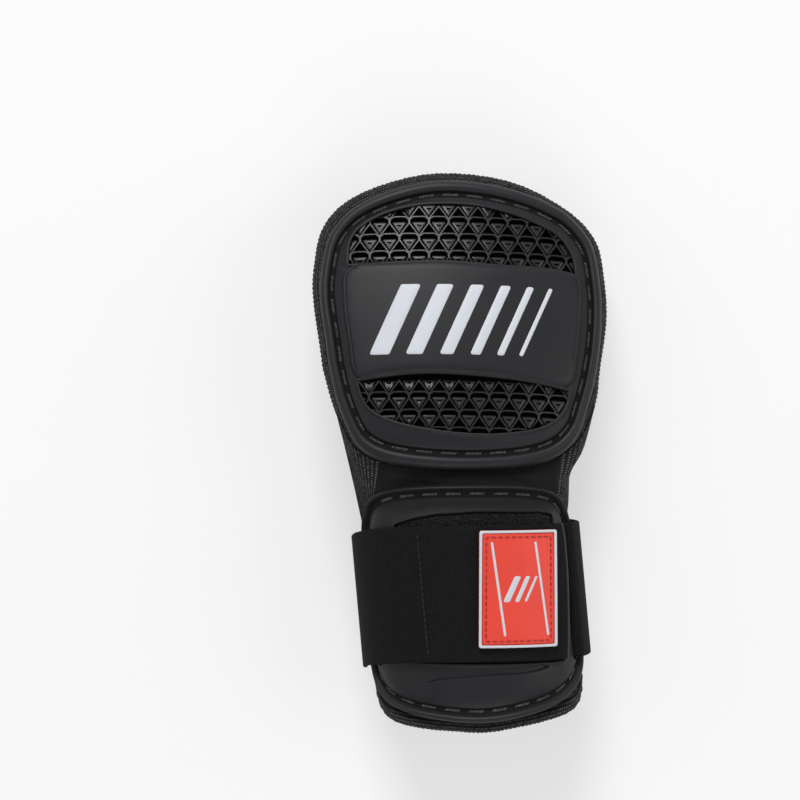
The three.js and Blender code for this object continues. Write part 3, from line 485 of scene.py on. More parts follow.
def set_mark(mesh, key, values):
    """Gives each point of a mesh a value that its material or its Geometry Nodes read."""
    layer = mesh.attributes.new(key, "FLOAT", "POINT")
    layer.data.foreach_set("value", np.broadcast_to(np.asarray(values, np.float32), len(mesh.vertices)).copy())


def linked(name, data):
    """A new object in the scene."""
    piece = bpy.data.objects.new(name, data)
    bpy.context.scene.collection.objects.link(piece)
    return piece


def make_object(name, points, faces, material=None, uv=None, sharp=None, marks=None):
    """A mesh object at the origin; uv has one pair for each point."""
    mesh = bpy.data.meshes.new(name)
    mesh.from_pydata(np.asarray(points).tolist(), [], [tuple(int(i) for i in f) for f in faces])
    mesh.update()
    if uv is not None:
        set_uv(mesh, uv)
    for key, values in (marks or {}).items():
        set_mark(mesh, key, values)
    mesh.shade_smooth()
    if sharp is not None:
        mesh.set_sharp_from_angle(angle=math.radians(sharp))
    if material is not None:
        mesh.materials.append(material)
    return linked(name, mesh)


def finish_piece(piece, body, nodes=()):
    """Puts a finished piece under its body and hides the solids that it stands for."""
    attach(piece, body)
    if nodes:
        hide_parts(*nodes)


def strip_faces(rows, count, ring=True, loop=False):
    """Quads between rows of points; a ring's ends are joined, and so are a loop's first and last rows."""
    return [
        (a + i, a + (i + 1) % count, b + (i + 1) % count, b + i)
        for row in range(rows if loop else rows - 1) for a, b in [(row * count, (row + 1) % rows * count)]
        for i in range(count if ring else count - 1)
    ]


def ring_stack(rings):
    """Faces that join rings of equal count, from the top one to the foot, with both ends closed."""
    count = len(rings[0])
    last = (len(rings) - 1) * count
    faces = [(a, d, c, b) for a, b, c, d in strip_faces(len(rings), count)]
    return faces + [tuple(range(count)), tuple(range(last, last + count))[::-1]]


def skin_body(name, loop, holes, lines, spacing, top, bottom, place, material, sharp=32, marks=None):
    """A closed body over a flat outline: a top and a bottom height field, joined by walls.

    lines are the lines that the surface's edges keep to, each a run of flat points."""
    def add(run, closed):
        first = len(points)
        points.extend(run.tolist())
        edges.extend((first + i, first + i + 1) for i in range(len(run) - 1))
        if closed:
            edges.append((len(points) - 1, first))

    def covered(spots, gap=0.0):
        keep = depth_in(spots, loop) > gap
        for hole in holes:
            keep &= depth_in(spots, hole) < -gap
        return keep

    points, edges = [], []
    for rim in (loop, *holes):
        add(rim, True)
    for line in lines:
        keep = covered(line, 0.12)
        whole = bool(keep.all())
        for start in [0] if whole else np.flatnonzero(keep & ~np.roll(keep, 1)):
            run = line if whole else np.roll(line, -start, 0)[:np.argmin(np.roll(keep, -start))]
            if len(run) > 1:
                add(run, whole and np.hypot(*(line[0] - line[-1])) < 2.5)
    known = np.array(points)
    low, high = loop.min(0), loop.max(0)
    grid = np.array([
        (x + (k % 2) * spacing / 2, y)
        for k, y in enumerate(np.arange(low[1], high[1], spacing * math.sqrt(3) / 2))
        for x in np.arange(low[0], high[0], spacing)
    ])
    near = np.concatenate([
        np.sqrt(((grid[i:i + 400, None] - known) ** 2).sum(2).min(1)) for i in range(0, len(grid), 400)
    ])
    points.extend(grid[(near > spacing * 0.62) & covered(grid)].tolist())
    flat, _, faces, *_ = delaunay_2d_cdt([tuple(p) for p in points], edges, [], 0, 1e-5)
    flat, faces = np.array([tuple(p) for p in flat]), np.array(faces)
    faces = faces[covered(flat[faces].mean(1))]
    a, b, c = (flat[faces[:, k]] for k in range(3))
    area = (b - a)[:, 0] * (c - a)[:, 1] - (b - a)[:, 1] * (c - a)[:, 0]
    faces = np.where(area[:, None] < 0, faces[:, ::-1], faces)[np.abs(area) > 1e-7]
    used, faces = np.unique(faces, return_inverse=True)
    flat, faces = flat[used], faces.reshape(-1, 3)
    sides = np.concatenate([faces[:, [0, 1]], faces[:, [1, 2]], faces[:, [2, 0]]])
    sides = [(int(p), int(q)) for p, q in sides]
    twins = {(q, p) for p, q in sides}
    count = len(flat)
    walls = [(p, p + count, q + count, q) for p, q in sides if (p, q) not in twins]
    x, y = flat.T
    spots = np.vstack([place(x, y, top(x, y)), place(x, y, bottom(x, y))])
    marks = {key: np.concatenate([value(x, y)] * 2) for key, value in (marks or {}).items()}
    return make_object(name, spots, [*faces, *(faces[:, ::-1] + count), *walls], material,
                       np.vstack([flat, flat]) / UV_SPAN, sharp, marks)


def disc_body(name, loop, profile, fills, place, material, ripple=None):
    """A closed body whose skin runs from the middle of its top, out over the profile, and back below.

    profile entries are (inset from the outline, height); uv runs round the outline and over the profile."""
    middle = (loop.min(0) + loop.max(0)) / 2
    rows = [(profile[0], share) for share in fills] + [(entry, 1.0) for entry in profile]
    rows += [(profile[-1], share) for share in reversed(fills)]
    count = len(loop)
    girth = lengths_along(loop, True)[:-1]
    normal = offset(loop, -1.0) - loop
    spots, uv, gone = [], [], 0.0
    for (inset, height), share in rows:
        shift, out = ripple(girth, inset, height) if ripple else (0.0, 0.0)
        ring = middle + (offset(loop, inset) - middle) * share + normal * np.reshape(out, (-1, 1))
        spots.append(place(ring[:, 0], ring[:, 1], height + shift))
        if len(spots) > 1:
            gone += float(np.linalg.norm(spots[-1] - spots[-2], axis=1).mean()) / MM
        uv.append(np.stack([girth, np.full(count, gone)], 1))
    head, foot = (place(*middle, profile[k][1])[None] for k in (0, -1))
    last = 1 + (len(rows) - 1) * count
    faces = [(0, 1 + i, 1 + (i + 1) % count) for i in range(count)]
    faces += [(1 + a, 1 + d, 1 + c, 1 + b) for a, b, c, d in strip_faces(len(rows), count)]
    faces += [(last + i, last + count, last + (i + 1) % count) for i in range(count)]
    uvs = np.vstack([[[0, 0]], *uv, [[0, gone]]]) / UV_SPAN
    return make_object(name, np.vstack([head, *spots, foot]), faces, material, uvs)


def webbing_section(low, high, corner, across):
    """A strap's section with rounded edges, as (place across it, share of half its thickness)."""
    turn = np.linspace(0, math.pi, 7)[1:-1]
    ys = np.linspace(low + corner, high - corner, across)
    ring = [(y, 1.0) for y in ys] + [(high - corner + math.sin(t) * corner, math.cos(t)) for t in turn]
    ring += [(y, -1.0) for y in ys[::-1]] + [(low + corner - math.sin(t) * corner, -math.cos(t)) for t in turn]
    return np.array(ring)


def strap_band(name, spine, place, material, edge=None):
    """A part of the strap, swept along a spine of (run, height) points.

    edge gives, at a run, how far its colour is made lighter at its cut end."""
    along = np.gradient(spine, axis=0)
    along /= np.hypot(*along.T)[:, None]
    ring = webbing_section(STRAP_BOTTOM, STRAP_TOP, 0.75, 60)
    count, last = len(ring), len(spine) - 1
    spots = []
    for i, ((run, height), (ahead, up)) in enumerate(zip(spine, along)):
        thick = ring[:, 1] * (STRAP_THICKNESS / 2 - 0.02) * (0.7 if i in (0, last) else 1)
        spots.append(place(run - up * thick, ring[:, 0], height + ahead * thick))
    faces = strip_faces(last + 1, count)
    faces += [tuple(range(count))[::-1], tuple(range(last * count, (last + 1) * count))]
    uv = np.column_stack([np.repeat(lengths_along(spine), count), np.tile(ring[:, 0], last + 1)])
    marks = {"edge": edge(np.repeat(spine[:, 0], count))} if edge else None
    return face_out(make_object(name, np.vstack(spots), faces, material, uv / UV_SPAN, 50, marks))


def face_out(piece):
    """Turns a closed mesh's faces outwards where they point in."""
    mesh = piece.data
    spots = values_of(mesh.vertices, "co", 3)
    mesh.calc_loop_triangles()
    a, b, c = (spots[k] for k in values_of(mesh.loop_triangles, "vertices", 3, int).T)
    if np.einsum("ij,ij->i", a, np.cross(b, c)).sum() < 0:
        mesh.flip_normals()
    return piece


# Repeated pieces


class Field:
    """A node socket that takes part in Python expressions, in a Geometry Nodes or a shader tree."""

    def __init__(self, tree, socket):
        self.tree, self.socket = tree, socket

    def _math(self, operation, *values):
        node = self.tree.nodes.new("ShaderNodeMath")
        node.operation = operation
        for socket, value in zip(node.inputs, values):
            if isinstance(value, Field):
                self.tree.links.new(value.socket, socket)
            else:
                socket.default_value = value
        return Field(self.tree, node.outputs[0])

    def __add__(self, other):
        return self._math("ADD", self, other)

    def __mul__(self, other):
        return self._math("MULTIPLY", self, other)

    __radd__, __rmul__ = __add__, __mul__

    def __sub__(self, other):
        return self._math("SUBTRACT", self, other)

    def __rsub__(self, other):
        return self._math("SUBTRACT", other, self)

    def part(self):
        """What is left after the whole number below."""
        return self._math("FRACT", self)

    def size(self):
        return self._math("ABSOLUTE", self)

    def sine(self):
        return self._math("SINE", self)


def repeat_tree(name):
    """A Geometry Nodes tree that puts a cell on every point, turned by the point's attribute."""
    tree = bpy.data.node_groups.new(name, "GeometryNodeTree")
    face = tree.interface
    face.new_socket("Points", in_out="INPUT", socket_type="NodeSocketGeometry")
    for label, kind in (
        ("Cell", "NodeSocketObject"), ("Material", "NodeSocketMaterial"), ("Turn variation", "NodeSocketFloat"),
        ("Size variation", "NodeSocketFloat"), ("Seed", "NodeSocketInt"),
    ):
        face.new_socket(label, in_out="INPUT", socket_type=kind)
    face.new_socket("Pieces", in_out="OUTPUT", socket_type="NodeSocketGeometry")
    nodes, links = tree.nodes, tree.links

    def add(kind, **settings):
        node = nodes.new(kind)
        for key, value in settings.items():
            setattr(node, key, value)
        return node

    inputs, outputs = add("NodeGroupInput"), add("NodeGroupOutput")
    cell = add("GeometryNodeObjectInfo")
    links.new(inputs.outputs["Cell"], cell.inputs["Object"])
    places = add("GeometryNodeInstanceOnPoints")
    links.new(inputs.outputs["Points"], places.inputs["Points"])
    links.new(cell.outputs["Geometry"], places.inputs["Instance"])

    def spread(amount, shift):
        node = add("FunctionNodeRandomValue", data_type="FLOAT")
        node.inputs[2].default_value = -1
        node.inputs[3].default_value = 1
        seed = Field(tree, inputs.outputs["Seed"]) + shift
        links.new(seed.socket, node.inputs["Seed"])
        return Field(tree, node.outputs[1]) * Field(tree, inputs.outputs[amount])

    given = add("GeometryNodeInputNamedAttribute", data_type="FLOAT")
    given.inputs["Name"].default_value = "turn"
    turn = Field(tree, given.outputs["Attribute"]) + spread("Turn variation", 11)
    size = 1 + spread("Size variation", 29)
    rotation = add("ShaderNodeCombineXYZ")
    links.new(turn.socket, rotation.inputs["Z"])
    links.new(rotation.outputs[0], places.inputs["Rotation"])
    links.new(size.socket, places.inputs["Scale"])
    real = add("GeometryNodeRealizeInstances")
    paint = add("GeometryNodeSetMaterial")
    links.new(places.outputs[0], real.inputs[0])
    links.new(real.outputs[0], paint.inputs["Geometry"])
    links.new(inputs.outputs["Material"], paint.inputs["Material"])
    links.new(paint.outputs[0], outputs.inputs[0])
    return tree


def repeated(name, cell, spots, turns, place, material, turn_spread=0.0, size_spread=0.0, seed=1):
    """Copies of a flat cell on flat points (x, y, height), then carried to their place on the guard."""
    points = bpy.data.meshes.new(name + "_points")
    points.from_pydata(np.asarray(spots, float).tolist(), [], [])
    set_mark(points, "turn", turns)
    holder = linked(name + "_places", points)
    tree = bpy.data.node_groups.get("Repeat cell") or repeat_tree("Repeat cell")
    modifier = holder.modifiers.new("Repeat", "NODES")
    modifier.node_group = tree
    keys = {item.name: item.identifier for item in tree.interface.items_tree if item.in_out == "INPUT"}
    for key, value in (("Cell", cell), ("Material", material), ("Turn variation", turn_spread),
                       ("Size variation", size_spread), ("Seed", seed)):
        modifier[keys[key]] = value
    holder.update_tag()
    graph = bpy.context.evaluated_depsgraph_get()
    mesh = bpy.data.meshes.new_from_object(holder.evaluated_get(graph), depsgraph=graph)
    mesh.name = name
    bpy.data.objects.remove(holder)
    bpy.data.meshes.remove(points)
    bpy.data.objects.remove(cell)
    flat = values_of(mesh.vertices, "co", 3)
    mesh.vertices.foreach_set("co", place(flat).ravel())
    set_uv(mesh, flat[:, :2] / UV_SPAN)
    set_mark(mesh, "level", flat[:, 2])
    mesh.update()
    return linked(name, mesh)


def join_parts(parts):
    """The points and faces of several parts as one."""
    points, faces, start = [], [], 0
    for spots, polygons in parts:
        points.append(np.asarray(spots, float))
        faces.extend(tuple(i + start for i in polygon) for polygon in polygons)
        start += len(spots)
    return np.vstack(points), faces


# Hand unit


LIP_AT = (-50, 0, 0.12, 0.35, 0.65, 0.95, LIP_WIDTH, LIP_WIDTH + 0.35)  # stations of the windows' raised lips


def hand_shell_top():
    """The height of the hand shell's face over a flat point."""
    bead_end, groove_end = BEAD_WIDTH, BEAD_WIDTH + GROOVE_WIDTH
    floor = SHELL_SEAT + GROOVE_FLOOR
    stations = [
        (-1, SHELL_SEAT + 1.35), (0, SHELL_SEAT + 1.45), (0.25, SHELL_SEAT + 2.1), (0.7, SHELL_SEAT + 2.75),
        (1.4, SHELL_SEAT + 3.25), (2.3, SHELL_SEAT + BEAD_HEIGHT), (3.2, SHELL_SEAT + 3.4),
        (4.0, SHELL_SEAT + 3.0), (4.5, SHELL_SEAT + 2.45), (bead_end, SHELL_SEAT + 1.8),
        (bead_end + 0.16, floor + 0.1), (bead_end + 0.4, floor), (groove_end - 0.35, floor),
        (groove_end - 0.12, floor + 0.25), (groove_end, LAND_TOP - LAND_DIP - 0.25),
        (groove_end + 0.25, LAND_TOP - LAND_DIP), (groove_end + LAND_RUN, LAND_TOP - 0.05),
        (groove_end + LAND_RUN + 3, LAND_TOP), (200, LAND_TOP),
    ]
    at, levels = np.array(stations).T
    lip = np.array([LIP_RISE - 0.2, LIP_RISE - 0.2, LIP_RISE - 0.05, LIP_RISE, LIP_RISE, LIP_RISE - 0.12, 0.05, -0.2])
    rise_at = np.array([-0.6, 0, 0.3, 0.8, 1.4, 2.0, PANEL_SLOPE, 4.5])
    rise = np.array([-2, 0, 0.55, 1.0, 1.28, 1.42, 1.48, PANEL_RISE])
    ridge_at = np.array([-0.2, 0.15, 0.5, 1.0, 1.3, 1.75])
    ridge = np.array([0, 0.5, 0.72, 0.72, 0.55, 0])

    def top(x, y):
        flat = np.stack([x, y], 1)
        inset = depth_in(flat, HAND_LOOP, RIM_SIDE_SHARE)
        level = np.interp(inset, at, levels)
        for hole in (UPPER_WINDOW, LOWER_WINDOW):
            gap = -depth_in(flat, hole)
            level = np.where(gap < LIP_AT[-1], np.maximum(level, LAND_TOP + np.interp(gap, LIP_AT, lip)), level)
        inside = depth_in(flat, PANEL_LOOP)
        raised = LAND_TOP + np.interp(inside, rise_at, rise)
        left = smooth((-x - 36) / 3) * smooth((y - 36) / 4) * smooth((81 - y) / 4)
        right = smooth((x - 41) / 2.5) * smooth((y - 42) / 4) * smooth((82 - y) / 4)
        raised = raised + np.interp(inside, ridge_at, ridge) * (left * 1.3 + right)
        return np.where(inside > -0.6, np.maximum(level, raised), level)

    return top


def groove_share(inset, start, width):
    """One inside a groove that starts at an inset from the rim, zero elsewhere."""
    return smooth((inset - start + 0.15) / 0.25) * smooth((start + width + 0.1 - inset) / 0.25)


def hand_groove_shade(x, y):
    """The hand shell's groove, which its material darkens to near black as painted shade."""
    return groove_share(depth_in(np.stack([x, y], 1), HAND_LOOP, RIM_SIDE_SHARE), BEAD_WIDTH, GROOVE_WIDTH)


def wrist_groove_and_land_shade(x, y):
    """The wrist shell's groove and its land nearest the neck, which its material darkens as painted shade."""
    inset = bead_station(depth_in(np.stack([x, y], 1), WRIST_LOOP), y)
    groove = groove_share(inset, WRIST_BEAD, WRIST_GROOVE)
    # painted shade on the land nearest the neck, as well as in the groove
    return np.maximum(groove, 0.8 * smooth((y + 14.5) / 5) * (inset > WRIST_BEAD))


def hand_shell(material):
    groove_end = BEAD_WIDTH + GROOVE_WIDTH
    insets = [0.25, 0.7, 1.4, 2.3, 3.2, 4.0, 4.5, BEAD_WIDTH, BEAD_WIDTH + 0.16, BEAD_WIDTH + 0.4,
              groove_end - 0.35, groove_end - 0.12, groove_end, groove_end + 0.25, groove_end + 0.9]
    lines = [offset(HAND_LOOP, d, RIM_SIDE_SHARE) for d in insets]
    for hole in (UPPER_WINDOW, LOWER_WINDOW):
        lines += [spaced(offset(hole, -gap), 0.9) for gap in LIP_AT[2:]]
    lines += [spaced(offset(PANEL_LOOP, inside), 1.1) for inside in (0, 0.15, 0.3, 0.5, 0.8, 1, 1.3, 1.75, PANEL_SLOPE)]

    def bottom(x, y):
        inset = depth_in(np.stack([x, y], 1), HAND_LOOP, RIM_SIDE_SHARE)
        return np.where(inset < groove_end + 0.4, SHELL_SEAT, SHELL_CAVITY)

    piece = skin_body("hand_shell_moulding", HAND_LOOP, [UPPER_WINDOW, LOWER_WINDOW], lines, 2.0,
                      hand_shell_top(), bottom, hand_place, material, 38, {"groove": hand_groove_shade})
    finish_piece(piece, "hand", ["hand_shell"])


def rounded_path(corners, radii, per):
    """A closed line through corners, each rounded to its own radius."""
    corners = np.asarray(corners, float)
    out = []
    for i, corner in enumerate(corners):
        before, after = corners[i - 1], corners[(i + 1) % len(corners)]
        u, v = before - corner, after - corner
        u, v = u / np.hypot(*u), v / np.hypot(*v)
        half = math.acos(float(np.clip(u @ v, -1, 1))) / 2
        reach = radii[i] / math.tan(half)
        t = np.linspace(0, 1, per)[:, None]
        a, b = corner + u * reach, corner + v * reach
        out.append((1 - t) ** 2 * a + 2 * t * (1 - t) * corner + t**2 * b)
    return np.vstack(out)


def lattice_cell():
    """One cell: an arch on two stems, slanted ribs below, and a stepped wedge with a boss between them."""
    half, row = LATTICE_PITCH / 2, LATTICE_ROW
    floor, rib_top = LATTICE_TOP - 0.2, LATTICE_TOP + 2.0
    stem, arch, rib = 1.95, 3.0, 0.27
    edge = half - 0.14
    corners = [(edge, 0.1), (edge, stem - 0.1), (edge - 1.45, arch), (-edge + 1.45, arch), (-edge, stem - 0.1),
               (-edge, 0.1), (0, -row + stem + 0.05)]
    path = rounded_path(corners, [0.5, 0.7, 1.2, 1.2, 0.7, 0.5, 0.25], 4)
    slant = smooth((0.5 - path[:, 1]) / 0.9) * smooth((path[:, 1] + row - stem - 0.35) / 0.5)
    rings = []
    for out, level, facet in ((-rib, floor, 0), (-rib, rib_top - 0.12, 0), (-rib + 0.07, rib_top - 0.02, 0),
                              (0.0, rib_top, 0), (rib - 0.05, rib_top - 0.02, 0), (rib, rib_top - 0.06, 1),
                              (rib + 0.02, floor, 1)):
        wide = out + facet * 0.42 * slant
        drop = level - (facet * 0.42 * slant if level > floor else 0)
        rings.append(np.column_stack([offset(path, wide[:, None]), np.broadcast_to(drop, len(path))]))
    parts = [(np.vstack(rings), strip_faces(len(rings), len(path), loop=True))]
    top = rib_top - 0.22
    wedge = rounded_path([(2.45, 0.95), (-2.45, 0.95), (-2.5, 0.3), (0, -row + stem + 1.3), (2.5, 0.3)],
                         [0.25, 0.25, 0.3, 0.15, 0.3], 3)
    hole = rounded_path([(1.3, -0.18), (-1.3, -0.18), (0, -2.35)], [0.45, 0.45, 0.12], 5)
    facet = smooth((wedge[:, 1] - 0.45) / 0.35)
    inner = wedge - np.column_stack([np.zeros(len(wedge)), 0.42 * facet])
    skirt = [(wedge, floor), (wedge, top - 0.46 * facet - 0.04), (inner, top - 0.02), (offset(inner, 0.05), top)]
    skirt = [np.column_stack([ring, np.broadcast_to(level, len(ring))]) for ring, level in skirt]
    around = np.arctan2(*(inner - (0, -0.9)).T[::-1])
    spin = np.arctan2(*(hole - (0, -0.9)).T[::-1])
    order = np.argsort(spin)
    rim = np.column_stack([np.interp(around, spin[order], hole[order, k], period=TAU) for k in range(2)])
    skirt += [np.column_stack([rim, np.full(len(rim), level)]) for level in (top, top - 0.05, floor)]
    skirt[-2][:, :2] = offset(rim, 0.03)
    skirt[-1][:, :2] = offset(rim, 0.05)
    parts.append((np.vstack(skirt), strip_faces(len(skirt), len(wedge), loop=True)))
    boss = np.array([(1.0, -0.72), (-1.0, -0.72), (0, -2.3)])
    rings = [np.array([[*p, level] for p, level in zip(boss * (s, 1) + (0, lift), heights)]) for s, lift, heights in (
        (0.8, -0.12, (top - 0.45, top - 0.45, top - 0.12)), (1.0, 0.0, (top - 0.75, top - 0.75, top - 0.3)),
        (1.0, 0.0, (floor, floor, floor)))]
    parts.append((np.vstack(rings), ring_stack(rings)))
    middle = np.array([-half, -row + arch + 0.62])
    pit = np.array([(0.5, -0.25), (0, 0.5), (-0.5, -0.25)])
    rings = [np.column_stack([middle + pit * s, np.full(3, level)]) for s, level in (
        (0.2, LATTICE_TOP + 1.25), (1.0, LATTICE_TOP + 0.3), (1.2, floor))]
    parts.append((np.vstack(rings), ring_stack(rings)))
    points, faces = join_parts(parts)
    return make_object("lattice_cell", points, faces, None, None, 30)


def lattice(material, floor_material):
    """The insert's cells and its floor, in each window."""
    for name, hole, (first_x, first_y, pitch) in (
        ("upper", UPPER_WINDOW, UPPER_ROWS), ("lower", LOWER_WINDOW, LOWER_ROWS)
    ):
        spots = np.array([
            (first_x + (k + (row % 2) / 2) * LATTICE_PITCH, row * LATTICE_ROW, 0.0)
            for row in range(-5, 5) for k in range(-8, 9)
        ])

        def flat_y(y):
            return first_y + y * pitch / LATTICE_ROW

        near = depth_in(np.column_stack([spots[:, 0], flat_y(spots[:, 1]) - 1.2]), hole)

        def carry(flat):
            x, y = flat[:, 0], flat_y(flat[:, 1])
            gap = depth_in(np.column_stack([x, y]), hole)
            height = np.where(gap < -0.3, np.minimum(flat[:, 2], LATTICE_TOP - 0.1), flat[:, 2])
            if name == "lower":  # the row under the sill sinks below its ribs' feet
                sunk = smooth((flat[:, 1] - LATTICE_ROW - 0.1) / 0.7)
                height = np.where(sunk > 0, height + (LATTICE_TOP - 0.3 - height) * sunk, height)
                # painted shadow: the sunk height also goes into the level mark, which darkens this row under the
                # panel's edge
                flat[:, 2] = height
            return hand_place(x, y, height)

        cells = repeated(f"lattice_cells_{name}", lattice_cell(), spots[near > -4.4], 0.0, carry, material)
        finish_piece(cells, "hand", ["lattice_insert"] if name == "upper" else [])
        base = spaced(offset(hole, -1.4), 1.6)
        # painted shade: the floor under the cells takes a near-black material
        floor = skin_body(f"lattice_floor_{name}", base, [], [], 3.0, lambda x, y: np.full(len(x), LATTICE_TOP),
                          lambda x, y: np.full(len(x), SHELL_SEAT + 0.02), hand_place, floor_material)
        finish_piece(floor, "hand")


def pad_profile(top, foot, roll, reach):
    """A pad's edge, from its flat top round a rolled rim to its flat foot."""
    turn = np.linspace(math.pi / 2, -math.pi / 2, 15)[1:-1]
    middle, half = (top + foot) / 2, (top - foot) / 2
    return [(roll + reach, top), (roll + 3.4, top), (roll + 1.6, top), (roll + 0.5, top - 0.03),
            *((roll * (1 - math.cos(t) ** 0.8), middle + half * math.sin(t)) for t in turn),
            (roll + 0.6, foot + 0.02), (roll + 3, foot), (roll + 6, foot)]


def soft_pad(name, outline, levels, roll, reach, folds, fringe, place, body, material, nodes):
    """A padded cover whose edge is gathered in small folds, with the knit's ribs round its rim.

    folds are their pitch, its drift, the drift's length, the finer folds' pitch, and the folds' height above
    and below the rim; fringe gives the share of the ribs at a y."""
    pitch, drift, drift_run, fine, above, below = folds
    loop = spaced(outline, 0.45)
    ribs = 0.16 * fringe(loop[:, 1])

    def ripple(girth, inset, height):
        near = smooth(1 - inset / (roll + 3.2))
        wave = np.sin(girth * TAU / pitch + drift * np.sin(girth / drift_run)) + 0.5 * np.sin(girth * TAU / fine)
        return (above if height > sum(levels) / 2 else below) * near * wave, ribs * near * np.cos(girth * TAU / 1.8)

    piece = disc_body(name, loop, pad_profile(*levels, roll, reach), (0.06, 0.2, 0.36, 0.52, 0.68, 0.84), place,
                      material, ripple)
    finish_piece(face_out(piece), body, nodes)


def lining(name, outline, low, high, place, body, material, node, flat, area):
    """A thin lining under a pad, with a rounded edge."""
    profile = [(3.2, high), (1.6, high), (0.6, high - 0.05), (0.15, high - 0.25), (0, (low + high) / 2),
               (0.15, low + 0.25), (0.6, low + 0.05), (1.6, low), (3.2, low)]
    piece = disc_body(name, spaced(outline, 1.0), profile, (0.05, 0.15, 0.25, 0.4, 0.55, 0.7, 0.85), place, material)
    finish_piece(face_out(piece), body, [node])


def loop_matrix():
    """The turn that sets the finger loops square to the crowned pad."""
    rise = math.atan(-(LOOP_CENTRE_Y - HAND_CENTRE_Y) / CROWN_ALONG)
    tilt = math.atan((LOOP_XS["finger_loop_middle"] + 11 - CROWN_CENTRE_X) / CROWN_ACROSS)
    about_x = np.array([[1, 0, 0], [0, math.cos(rise), -math.sin(rise)], [0, math.sin(rise), math.cos(rise)]])
    about_y = np.array([[math.cos(tilt), 0, math.sin(tilt)], [0, 1, 0], [-math.sin(tilt), 0, math.cos(tilt)]])
    return about_x @ about_y


def finger_loop(name, material):
    outer_w, outer_h = LOOP_INNER_WIDTH + 2 * LOOP_BAND, LOOP_INNER_DEPTH + 2 * LOOP_BAND
    half_w, half_h = (outer_w - LOOP_BAND) / 2, (outer_h - LOOP_BAND) / 2
    top, foot = -outer_h / 2 + half_h, -outer_h / 2 - half_h
    corners = [(half_w, top), (-half_w, top), (-half_w, foot), (half_w, foot)]
    path = spaced(rounded_path(corners, [LOOP_CORNER] * 4, 14), 0.45)
    normal = offset(path, -1.0) - path
    half = LOOP_WIDTH / 2
    ring = webbing_section(-half, half, 0.6, 22)
    ribs = 0.08 * np.cos(ring[:, 0] * TAU / 1.27) * (np.abs(ring[:, 0]) < half - 1)
    thick = ring[:, 1] * (LOOP_BAND / 2 - 0.04) + np.sign(ring[:, 1]) * ribs
    spin, origin = loop_matrix(), hand_place(LOOP_XS[name], LOOP_CENTRE_Y, -2 * SEAT)
    droop = np.array([[1, 0, 0], [0, math.cos(DROOP), math.sin(DROOP)], [0, -math.sin(DROOP), math.cos(DROOP)]])
    spots = [
        np.column_stack([x + aside * thick, ring[:, 0], z + up * thick]) @ spin.T @ droop.T * MM + origin
        for (x, z), (aside, up) in zip(path, normal)
    ]
    gone = np.arange(len(path)) / len(path) * 70
    uv = np.column_stack([np.repeat(gone, len(ring)), np.tile(ring[:, 0], len(path))]) / UV_SPAN
    faces = strip_faces(len(path), len(ring), loop=True)
    piece = face_out(make_object(name + "_webbing", np.vstack(spots), faces, material, uv, 50))
    finish_piece(piece, "hand", [name])


# Wrist unit


def rounded_band(start, end, bottom, top, corner, step=1.0):
    """An upright rectangle with round corners."""
    box = rounded_path([(start, bottom), (end, bottom), (end, top), (start, top)], [corner] * 4, 6)
    return spaced(box, step)


def wrist_shell_top():
    """The height of the wrist shell's face over a point of its run."""
    groove_end = WRIST_BEAD + WRIST_GROOVE
    floor = WRIST_SHELL_TOP - WRIST_GROOVE_DEPTH
    stations = [
        (-1, WRIST_LAND - 1.4), (0, WRIST_LAND - 1.1), (0.3, WRIST_LAND - 0.3), (0.9, WRIST_SHELL_TOP - 0.45),
        (1.7, WRIST_SHELL_TOP - 0.08), (2.4, WRIST_SHELL_TOP), (3.2, WRIST_SHELL_TOP - 0.15),
        (3.9, WRIST_SHELL_TOP - 0.6), (4.4, WRIST_SHELL_TOP - 1.15), (WRIST_BEAD + 0.1, floor + 0.2),
        (WRIST_BEAD + 0.35, floor), (groove_end - 0.35, floor), (groove_end - 0.1, WRIST_LAND - 0.6),
        (groove_end + 0.25, WRIST_LAND - 0.32), (groove_end + 2.4, WRIST_LAND), (200, WRIST_LAND),
    ]
    at, levels = np.array(stations).T

    def top(run, y):
        flat = np.stack([run, y], 1)
        level = np.interp(bead_station(depth_in(flat, WRIST_LOOP), y), at, levels)
        below = np.interp(run, *STEP_EDGE.T) - y
        rise = np.interp(below, [-0.05, 0.2, 0.6, 1.1, 1.8, 6, 12], [0, 0.6, 1.02, 1.1, 1.08, 0.6, 0])
        level = level + STEP_RISE * rise * smooth((run + 21) / 1.4) * smooth((29.5 - run) / 3.5)
        inside = depth_in(flat, RECESS_LOOP)
        level = level + np.interp(-inside, [0, 0.15, 0.45, 0.9, 1.4], [0.1, 0.28, 0.35, 0.22, 0])
        return np.where(inside > 0.06, RECESS_FLOOR, level)

    return top


STEP_EDGE = curve([
    (-24, -76.6), (-20.3, -75.9), (-18, -74.9), (-11.9, -73.9), (-4.7, -73.3), (4.9, -72.5), (16.8, -72.0),
    (22.9, -71.1), (25.9, -70.4), (30, -69.0)], closed=False, per=6)
RECESS_LOOP = spaced(rounded_path(
    [(RECESS_LEFT, STRAP_BOTTOM - 0.8), (RECESS_RIGHT, STRAP_BOTTOM - 0.8), (RECESS_RIGHT, -13.6), (30, -12.5),
     (5.1, -12.1), (-12, -13.2), (-20.3, -14.8), (-28.8, -17.4)], [1.2, 1.2, 1.5, 12, 20, 20, 8, 1.0], 8), 1.0)
SLOT_LOOPS = [
    rounded_band(SLOT_START, SLOT_START + SLOT_WIDTH, STRAP_BOTTOM - SLOT_MARGIN, STRAP_TOP + SLOT_MARGIN, 1.2),
    rounded_band(-SLOT_START - SLOT_WIDTH, -SLOT_START, STRAP_BOTTOM - 3.3, STRAP_TOP - 4.5, 1.2),
]


